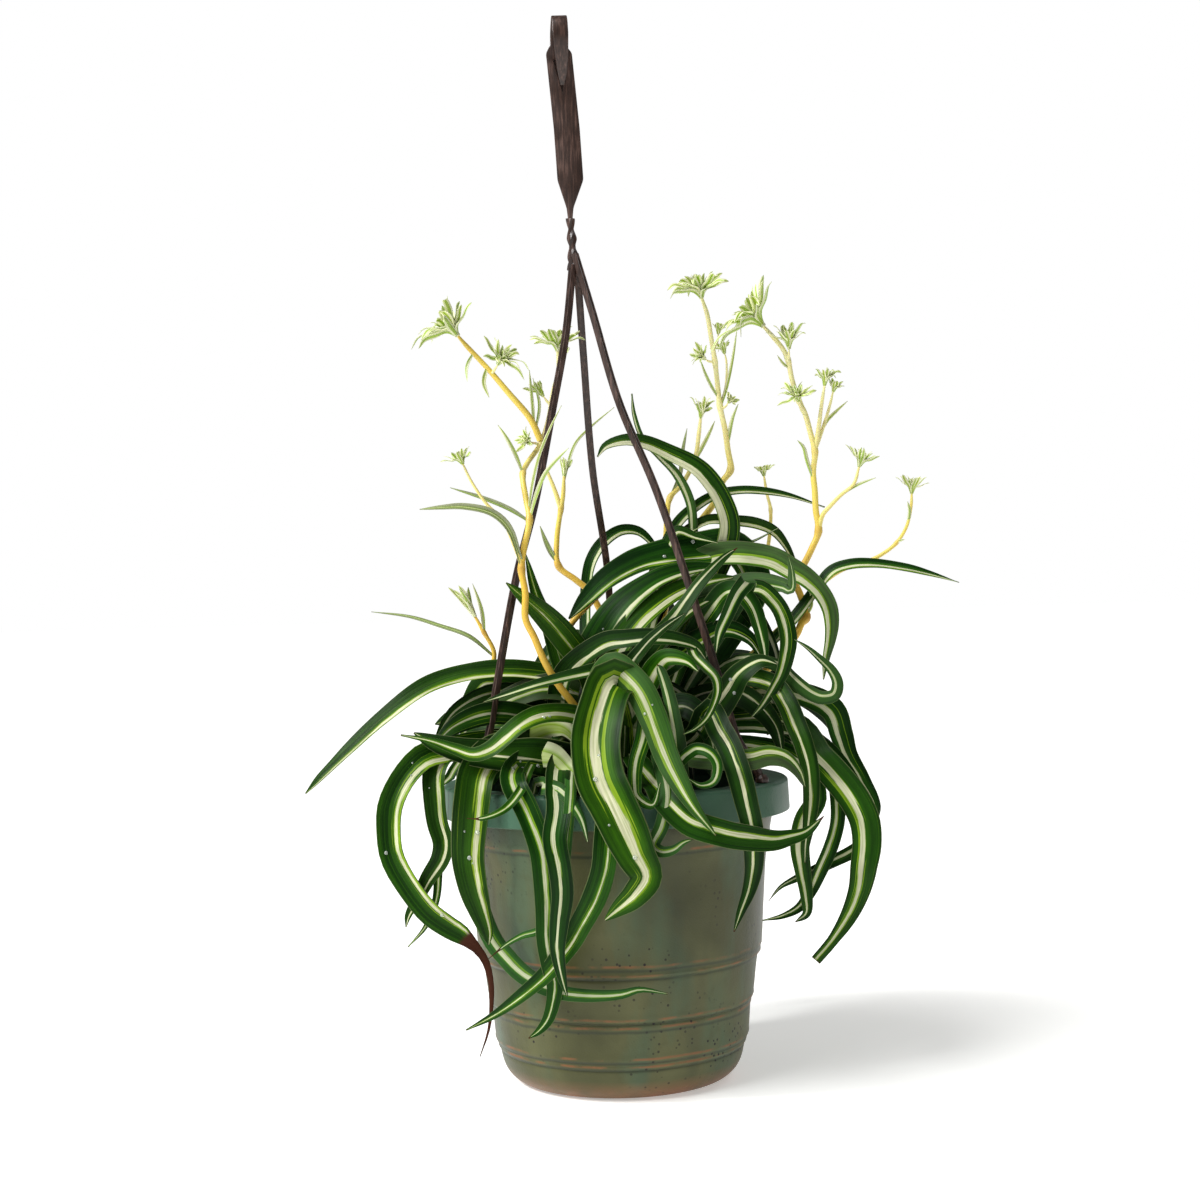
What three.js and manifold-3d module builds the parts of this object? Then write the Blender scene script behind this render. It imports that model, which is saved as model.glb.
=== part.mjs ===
// A curly spider plant in a round pot with a moulded hanger. Millimetres, +Z up.
// The origin is the middle of the pot's flat underside, and the side that is mostly seen faces -Y.
import * as THREE from "three";
import { mergeVertices } from "three/addons/utils/BufferGeometryUtils.js";
import Module from "manifold-3d";

const wasm = await Module();
wasm.setup();

// Driving dimensions
const potRadius = 105;
const potHeight = 179;
const potWall = 3;
const lipInner = 90;
const collarDepth = 19;
const potSides = 24;
const soilTop = 160;
const holeRing = 98;
const drainRing = 38;
const drainRadius = 6;
const armWidth = 5;
const armDepth = 3.6;
const strapWidth = 15.8;
const strapThickness = 2.6;
const bandWidth = 9.4;
const bandThickness = 2.4;
const junction = [-17.6, 0, 498];
const gap = 0.35;
const bladeThickness = 0.8;
const stockRadius = 26;
const eye = new THREE.Vector3(-6.7, -1150, 288);

// Points of arms, stalks and leaves are given on the front elevation, as seen from the eye:
// x and z are read on the plane y = 0, and y is the point's real depth.
function sight([x, y, z]) {
  const stretch = (y - eye.y) / -eye.y;
  return new THREE.Vector3(eye.x + (x - eye.x) * stretch, y, eye.z + (z - eye.z) * stretch);
}

// A small seeded generator of even draws from 0 to 1
function drawsFrom(seed) {
  let state = seed;
  return () => {
    state = (state * 9301 + 49297) % 233280;
    return state / 233280;
  };
}

const fade = (value) => {
  const clamped = Math.min(1, Math.max(0, value));
  return clamped * clamped * (3 - 2 * clamped);
};

// ---- solids ----

function solidOf(geometry) {
  const bare = geometry.index ? geometry.clone() : geometry;
  bare.deleteAttribute("normal");
  bare.deleteAttribute("uv");
  const merged = mergeVertices(bare, 1e-4);
  return new wasm.Manifold(new wasm.Mesh({
    numProp: 3,
    vertProperties: new Float32Array(merged.attributes.position.array),
    triVerts: new Uint32Array(merged.index.array),
  }));
}

// Where two sheets of a solid meet in one point, each is drawn back by a hair, so that they stay apart.
function drawApart(mesh) {
  const { vertProperties: place, triVerts: corners } = mesh;
  const at = (vertex) => new THREE.Vector3().fromArray(place, vertex * 3);
  const spots = new Map();
  for (let vertex = 0; vertex < place.length / 3; vertex += 1) {
    const spot = at(vertex).toArray().map((value) => Math.round(value * 500)).join();
    spots.set(spot, [...(spots.get(spot) || []), vertex]);
  }
  const shared = [...spots.values()].filter((vertices) => vertices.length > 1).flat();
  const back = shared.map((vertex) => {
    const middle = new THREE.Vector3();
    let count = 0;
    for (let corner = 0; corner < corners.length; corner += 1) {
      if (corners[corner] === vertex) {
        const first = corner - (corner % 3);
        middle.add(at(corners[first])).add(at(corners[first + 1])).add(at(corners[first + 2]));
        count += 3;
      }
    }
    return middle.divideScalar(count).sub(at(vertex)).setLength(0.012);
  });
  shared.forEach((vertex, row) => at(vertex).add(back[row]).toArray(place, vertex * 3));
}

function geometryOf(solid) {
  const mesh = solid.getMesh();
  drawApart(mesh);
  const geometry = new THREE.BufferGeometry();
  geometry.setAttribute("position", new THREE.BufferAttribute(mesh.vertProperties, 3));
  geometry.setIndex(new THREE.BufferAttribute(mesh.triVerts, 1));
  return geometry;
}

// Only the largest body is kept, so that a scrap cut loose is dropped.
function largest(solid) {
  const bodies = solid.decompose();
  return bodies.reduce((best, body) => (body.volume() > best.volume() ? body : best));
}

function turned(profile, sides) {
  const points = profile.map(([radius, height]) => new THREE.Vector2(radius, height));
  const lathe = new THREE.LatheGeometry(points, sides);
  lathe.rotateX(Math.PI / 2);
  return solidOf(lathe);
}

function upright(radius, low, high, sides, x, y) {
  const cylinder = new THREE.CylinderGeometry(radius, radius, high - low, sides);
  cylinder.rotateX(Math.PI / 2);
  cylinder.translate(x, y, (low + high) / 2);
  return solidOf(cylinder);
}

// A closed skin from points and triangles, turned so that it faces out
function closed(points, index) {
  const geometry = new THREE.BufferGeometry().setFromPoints(points);
  geometry.setIndex(index);
  const solid = solidOf(geometry);
  if (solid.volume() > 0) {
    return solid;
  }
  geometry.setIndex(index.slice().reverse());
  return solidOf(geometry);
}

// Joins rings of points, all with the same count, into one closed skin with flat ends.
function skin(rings) {
  const count = rings[0].length;
  const index = [];
  for (let ring = 0; ring < rings.length - 1; ring += 1) {
    for (let side = 0; side < count; side += 1) {
      const a = ring * count + side;
      const b = ring * count + ((side + 1) % count);
      index.push(a, b, b + count, a, b + count, a + count);
    }
  }
  const last = (rings.length - 1) * count;
  for (let side = 1; side < count - 1; side += 1) {
    index.push(0, side + 1, side);
    index.push(last, last + side, last + side + 1);
  }
  return closed(rings.flat(), index);
}

// ---- pot and soil ----

// The outer wall as radius and height, with three low ridges worn into the glaze
const potOutline = [
  [58, 0], [64, 1.5], [69, 5.5], [72, 10.5], [75.2, 22], [76.4, 24], [79, 46], [80, 48],
  [83.6, 72], [85.6, 77], [88, 105], [90.4, 134], [94.6, 157],
];
const wallAt = (height) => {
  const above = potOutline.findIndex(([, z]) => z >= height);
  if (above < 1) {
    return above === 0 ? potOutline[0][0] : potRadius;
  }
  const [r0, z0] = potOutline[above - 1];
  const [r1, z1] = potOutline[above];
  return r0 + ((r1 - r0) * (height - z0)) / (z1 - z0);
};
const armBearings = [210, 330, 90];
const holePlaces = armBearings.map((bearing) => {
  const angle = THREE.MathUtils.degToRad(bearing);
  return [holeRing * Math.cos(angle), holeRing * Math.sin(angle)];
});

function makePot() {
  const skirtFoot = potHeight - collarDepth;
  // up the outside, over the collar and the lip, and down the inside
  let pot = turned([
    [0, 0], ...potOutline, [94.6, potHeight - 2.5], [potRadius - 2.5, potHeight - 2.5],
    [potRadius - 2.5, skirtFoot], [potRadius, skirtFoot], [potRadius - 0.8, potHeight - 1.4],
    [potRadius - 2.6, potHeight], [lipInner, potHeight], [lipInner, potHeight - 2.5],
    [91.6, potHeight - 6], [91.6, 157], [87.4, 134], [82, 77], [72.8, 25], [67, 7], [60, potWall],
    [0, potWall],
  ], potSides);
  for (let hole = 0; hole < 4; hole += 1) {
    const angle = (hole + 0.5) * Math.PI / 2;
    const x = drainRing * Math.cos(angle);
    const y = drainRing * Math.sin(angle);
    pot = pot.subtract(upright(drainRadius, -1, potWall + 1, 6, x, y));
  }
  for (const [x, y] of holePlaces) {
    pot = pot.subtract(upright(3, potHeight - 4, potHeight + 1, 6, x, y));
  }
  return pot;
}

function makeSoil() {
  const inside = gap + 0.05;
  const profile = [
    [0, potWall + inside], [60 - inside, potWall + inside], [67 - inside, 7.3], [72.8 - inside, 25.2],
    [82 - inside, 77.2], [87.4 - inside, 134], [90.4, 155], [88, soilTop - 1], [72, soilTop], [50, soilTop],
    [0, soilTop],
  ].map(([radius, height]) => new THREE.Vector2(radius, height));
  const lathe = new THREE.LatheGeometry(profile, potSides);
  lathe.rotateX(Math.PI / 2);
  lathe.deleteAttribute("normal");
  lathe.deleteAttribute("uv");
  const merged = mergeVertices(lathe, 1e-4);
  const place = merged.attributes.position;
  const draw = drawsFrom(11);
  for (let vertex = 0; vertex < place.count; vertex += 1) {
    const radius = Math.hypot(place.getX(vertex), place.getY(vertex));
    if (place.getZ(vertex) > soilTop - 0.5 && radius > 40) {
      place.setZ(vertex, soilTop - 3.5 + 6 * draw());
    }
  }
  return solidOf(merged).subtract(upright(stockRadius + gap, 140 - gap, soilTop + 9, 12, 0, 0));
}

// ---- hanger ----

const armRoutes = [
  [[-18, -1.5, 492], [-23.3, -7, 450], [-32.7, -14, 404], [-45, -23, 347], [-57, -30, 304],
    [-71, -40, 236.5], [-76.5, -45, 208], [-83, -49, 190]],
  [[-16.6, -1.5, 499], [-6.7, -5, 463], [8, -14, 408], [28.5, -21.5, 356], [46, -30, 301],
    [66, -40, 233], [75, -45, 201], [83, -48.5, 188]],
  [[-15.4, 1.5, 494], [-12.8, 20, 436], [-9.2, 42, 368], [-1.5, 64, 302.6], [-0.8, 84, 235],
    [-0.5, 95, 200]],
];

// The route of one arm, down to the shoulder over its hole in the lip
function armPath(arm) {
  const [x, y] = holePlaces[arm];
  const path = armRoutes[arm].map(sight);
  path.push(new THREE.Vector3(x, y, potHeight + 1.2));
  return path;
}

// A double-ribbed channel: the groove runs along the outer face of each arm.
function armSection(outward, sideways, at, grow) {
  const half = armWidth / 2 + grow;
  const deep = armDepth / 2 + grow;
  const outline = grow > 0
    ? [[-half, -deep], [half, -deep], [half, deep], [-half, deep]]
    : [[-half, -deep], [half, -deep], [half, deep], [0.9, deep], [0, deep - 1.3], [-0.9, deep],
      [-half, deep]];
  return outline.map(([across, out]) => at.clone()
    .addScaledVector(sideways, across)
    .addScaledVector(outward, out));
}

function makeArm(arm, grow) {
  const path = armPath(arm);
  const bearing = THREE.MathUtils.degToRad(armBearings[arm]);
  const radial = new THREE.Vector3(Math.cos(bearing), Math.sin(bearing), 0);
  const rings = path.map((at, step) => {
    const along = path[Math.min(step + 1, path.length - 1)].clone()
      .sub(path[Math.max(step - 1, 0)])
      .normalize();
    const sideways = new THREE.Vector3().crossVectors(radial, along).normalize();
    const outward = new THREE.Vector3().crossVectors(along, sideways).normalize();
    return armSection(outward, sideways, at, grow);
  });
  return skin(rings.map((ring) => ring.slice().reverse()));
}

// The end of an arm: a shoulder on the lip, a pin through the hole and a small foot under the lip
function makeArmEnd(arm) {
  const [x, y] = holePlaces[arm];
  return upright(3.9, potHeight + gap, potHeight + 3.2, 6, x, y)
    .add(upright(2.3, potHeight - 8, potHeight + 2, 6, x, y))
    .add(upright(3.3, potHeight - 7.5, potHeight - 3, 6, x, y));
}

// A flat plate in the plane y = 0 from its outline in x and z
function plate(outline, thickness) {
  const shape = new THREE.Shape(outline.map(([x, z]) => new THREE.Vector2(x, z)));
  const geometry = new THREE.ExtrudeGeometry(shape, { depth: thickness, bevelEnabled: false });
  geometry.rotateX(Math.PI / 2);
  geometry.translate(0, thickness / 2, 0);
  return solidOf(geometry);
}

function makeStrap() {
  const half = strapWidth / 2;
  const strap = plate([
    [-20, 520], [-17.4, 520], [-16.6, 527], [-18 + half, 544], [-19.4 + half, 575], [-23 + half, 621],
    [-23.6 + bandWidth / 2, 626], [-23.6 - bandWidth / 2, 626], [-23 - half, 621], [-19.4 - half, 575],
    [-18 - half, 544], [-20.8, 527],
  ], strapThickness);
  const window = plate([[-21.4, 597], [-17.6, 617], [-26.6, 617]], strapThickness * 3);
  const neck = skin([
    [520.5, 2.9], [514, 2.2], [508, 3.2], [502, 2.4], [496, 4], [489, 4.4],
  ].map(([z, half]) => [[-1, -1], [1, -1], [1, 1], [-1, 1]].map(([across, deep]) => new THREE.Vector3(
    junction[0] - (z - junction[2]) * 0.05 + across * half,
    deep * half * 0.75,
    z,
  ))).reverse());
  return strap.subtract(window).add(neck);
}

// The band rises from the strap, turns forward over the top, and its tongue tucks into the window.
// Each point ends with a share of the band's width and a share of its thickness.
const bandRoute = [
  [-23.6, 0, 622, 1, 1], [-23.5, 0.8, 631, 1, 1], [-23, -1.4, 638, 1, 1], [-22.4, -6, 641, 1, 1],
  [-21.9, -10.8, 638, 1, 1], [-21.5, -12.4, 630, 1, 1], [-21.2, -10.2, 618, 0.85, 1],
  [-21.2, -6, 607, 0.55, 0.75], [-21.3, -2.6, 601.5, 0.25, 0.75],
];

function makeBand() {
  const points = bandRoute.map(([x, y, z]) => new THREE.Vector3(x, y, z));
  const rings = points.map((at, step) => {
    const along = points[Math.min(step + 1, points.length - 1)].clone()
      .sub(points[Math.max(step - 1, 0)])
      .normalize();
    const outward = new THREE.Vector3().crossVectors(new THREE.Vector3(1, 0, 0), along).normalize();
    const half = (bandWidth / 2) * bandRoute[step][3];
    const thick = (bandThickness / 2) * bandRoute[step][4];
    const corners = [[-half, -thick], [half, -thick], [half, thick], [-half, thick]];
    return corners.map(([across, out]) => at.clone()
      .addScaledVector(outward, out)
      .add(new THREE.Vector3(across, 0, 0)));
  });
  return skin(rings);
}

function makeHanger() {
  let hanger = makeStrap().add(makeBand());
  armBearings.forEach((bearing, arm) => {
    hanger = hanger.add(makeArm(arm, 0)).add(makeArmEnd(arm));
  });
  return hanger;
}

// ---- leaves ----

// What a leaf or a stalk has to pass: polylines with a radius
const obstacles = armBearings.map((bearing, arm) => ({ line: armPath(arm), radius: armWidth / 2 }));

// Where a route passes a line most closely, seen from the front, and how far behind the line it then is
function crossing(route, line) {
  let best = { apart: Infinity };
  for (let step = 0; step < line.length - 1; step += 1) {
    for (let part = 0; part < 1; part += 0.125) {
      const at = line[step].clone().lerp(line[step + 1], part);
      route.forEach((point, place) => {
        const apart = Math.hypot(point.x - at.x, point.z - at.z);
        if (apart < best.apart) {
          best = { apart, place, behind: point.y - at.y };
        }
      });
    }
  }
  return best;
}

// Bends a densely sampled route clear of the obstacles, forward or back, whichever side it is on.
function bendClear(route, half) {
  const bent = route.map((point) => point.clone());
  for (const { line, radius } of obstacles) {
    const { apart, place, behind } = crossing(bent, line);
    const need = radius + 2 + half * 0.6;
    const free = bent[place].z < 225 && Math.hypot(bent[place].x, bent[place].y) < 45;
    if (apart < radius + half + 1 && Math.abs(behind) < need && !free) {
      const shift = Math.sign(behind || 1) * (need - Math.abs(behind));
      const centre = bent[place].clone();
      bent.forEach((point) => {
        point.y += shift * fade(1.25 - point.distanceTo(centre) / 36);
      });
    }
  }
  return bent;
}

// Moves a point that would lie in or on the pot's wall or lip out to where it hangs clear.
function clearOfPot(point) {
  const radius = Math.hypot(point.x, point.y);
  const reach = point.z > 154 ? potRadius + 2 : wallAt(Math.max(point.z, 0)) + 2;
  if (point.z < potHeight + 2.2 && radius > 82 && radius < reach) {
    if (radius < 97 && point.z > 168) {
      point.z = potHeight + 2.2;
    } else {
      point.x *= reach / radius;
      point.y *= reach / radius;
    }
  }
  return point;
}

const touchesPot = (point) => {
  const radius = Math.hypot(point.x, point.y);
  const reach = point.z > 156 ? potRadius : wallAt(Math.max(point.z, 0));
  return point.z < potHeight + 1.1 && radius > 86 && radius < reach + 1.1;
};

// Half of a blade's width at a share of its length: narrow at the root, fine at the tip
function halfWidth(width, share, tip) {
  const rise = 0.62 + 0.38 * fade(share / 0.3);
  const fall = Math.sqrt(Math.max(0, 1 - Math.max(0, (share - 0.42) / 0.58) ** 1.8));
  return Math.max(tip, (width / 2) * rise * fall);
}

// Sections of a blade along its route. The face turns from the eye towards its upper side by turn degrees.
function bladeSections(route, width, turn, shares, tip) {
  const curve = new THREE.CatmullRomCurve3(route, false, "centripetal");
  const lean = -Math.sign(route[route.length - 1].x - route[0].x) || 1;
  let before = null;
  return shares.map((share) => {
    const at = curve.getPoint(share);
    const along = curve.getTangent(share);
    const toEye = eye.clone().sub(at).normalize();
    const across = new THREE.Vector3().crossVectors(along, toEye);
    const clearness = Math.min(1, across.lengthSq() * 3);
    across.normalize();
    if (before) {
      across.multiplyScalar(across.dot(before) < 0 ? -clearness : clearness);
      across.addScaledVector(before, 1 - clearness);
      across.addScaledVector(along, -across.dot(along)).normalize();
    }
    before = across.clone();
    across.applyAxisAngle(along, lean * THREE.MathUtils.degToRad(turn));
    const face = new THREE.Vector3().crossVectors(across, along).normalize();
    const half = halfWidth(width, share, tip);
    const edges = [-half, half].map((reach) => clearOfPot(at.clone().addScaledVector(across, reach)));
    return { share, edges, face };
  });
}

// Shares of a curve, as few as keep each straight piece within the slack of it
function sparse(curve, slack) {
  const count = 96;
  const points = curve.getPoints(count);
  const kept = [0];
  const nearest = new THREE.Vector3();
  for (let to = 2; to <= count; to += 1) {
    const from = kept[kept.length - 1];
    const chord = new THREE.Line3(points[from], points[to]);
    const strays = points.slice(from + 1, to)
      .some((point) => chord.closestPointToPoint(point, true, nearest).distanceTo(point) > slack);
    if (strays) {
      kept.push(to - 1);
    }
  }
  return [...kept, count].map((step) => step / count);
}

function blade(route, { width, turn = 25, tip = 0.5, slack = 3, thickness = bladeThickness, grow = 0 }) {
  let shares = sparse(new THREE.CatmullRomCurve3(route, false, "centripetal"), slack);
  for (let round = 0; round < 2; round += 1) {
    const rough = bladeSections(route, width, turn, shares, tip);
    const closer = [];
    rough.forEach((section, step) => {
      closer.push(section.share);
      const next = rough[step + 1];
      const meets = next && [0.2, 0.4, 0.6, 0.8].some((part) => section.edges
        .some((edge, side) => touchesPot(edge.clone().lerp(next.edges[side], part))));
      if (meets) {
        closer.push((section.share + next.share) / 2);
      }
    });
    shares = closer;
  }
  const rings = bladeSections(route, width + 2 * grow, turn, shares, tip).map(({ edges, face }) => {
    const lift = face.clone().multiplyScalar(thickness / 2 + grow);
    const [left, right] = edges;
    return [
      left.clone().sub(lift), right.clone().sub(lift), right.clone().add(lift), left.clone().add(lift),
    ];
  });
  return skin(rings);
}

// A leaf's hidden foot: out of the stock, straight up at first, then over to where the leaf is first seen
function rooted(path) {
  const seen = path.map(sight);
  const first = seen[0];
  if (Math.hypot(first.x, first.y) < 30 && first.z < 222) {
    return seen;
  }
  const level = Math.hypot(first.x, first.y);
  const root = new THREE.Vector3((first.x / level) * 16, (first.y / level) * 16, 182);
  const span = first.distanceTo(root);
  const rise = new THREE.Vector3(first.x / level, first.y / level, 2).normalize().multiplyScalar(span);
  const leave = seen[1].clone().sub(first).normalize().multiplyScalar(span);
  const foot = [0, 0.35, 0.7].map((t) => {
    const toRoot = 2 * t ** 3 - 3 * t ** 2 + 1;
    const toRise = t ** 3 - 2 * t ** 2 + t;
    const toLeave = t ** 3 - t ** 2;
    return root.clone().multiplyScalar(toRoot)
      .addScaledVector(rise, toRise)
      .addScaledVector(first, 1 - toRoot)
      .addScaledVector(leave, toLeave);
  });
  return [...foot, ...seen];
}

function denser(route) {
  const curve = new THREE.CatmullRomCurve3(route, false, "centripetal");
  return curve.getPoints((route.length - 1) * 4);
}

// A leaf bent clear keeps its own points: the bend is worked out on a denser route.
function clearRoute(route, width) {
  const bent = bendClear(denser(route), width / 2);
  return route.map((point, step) => bent[step * 4]);
}

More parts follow.
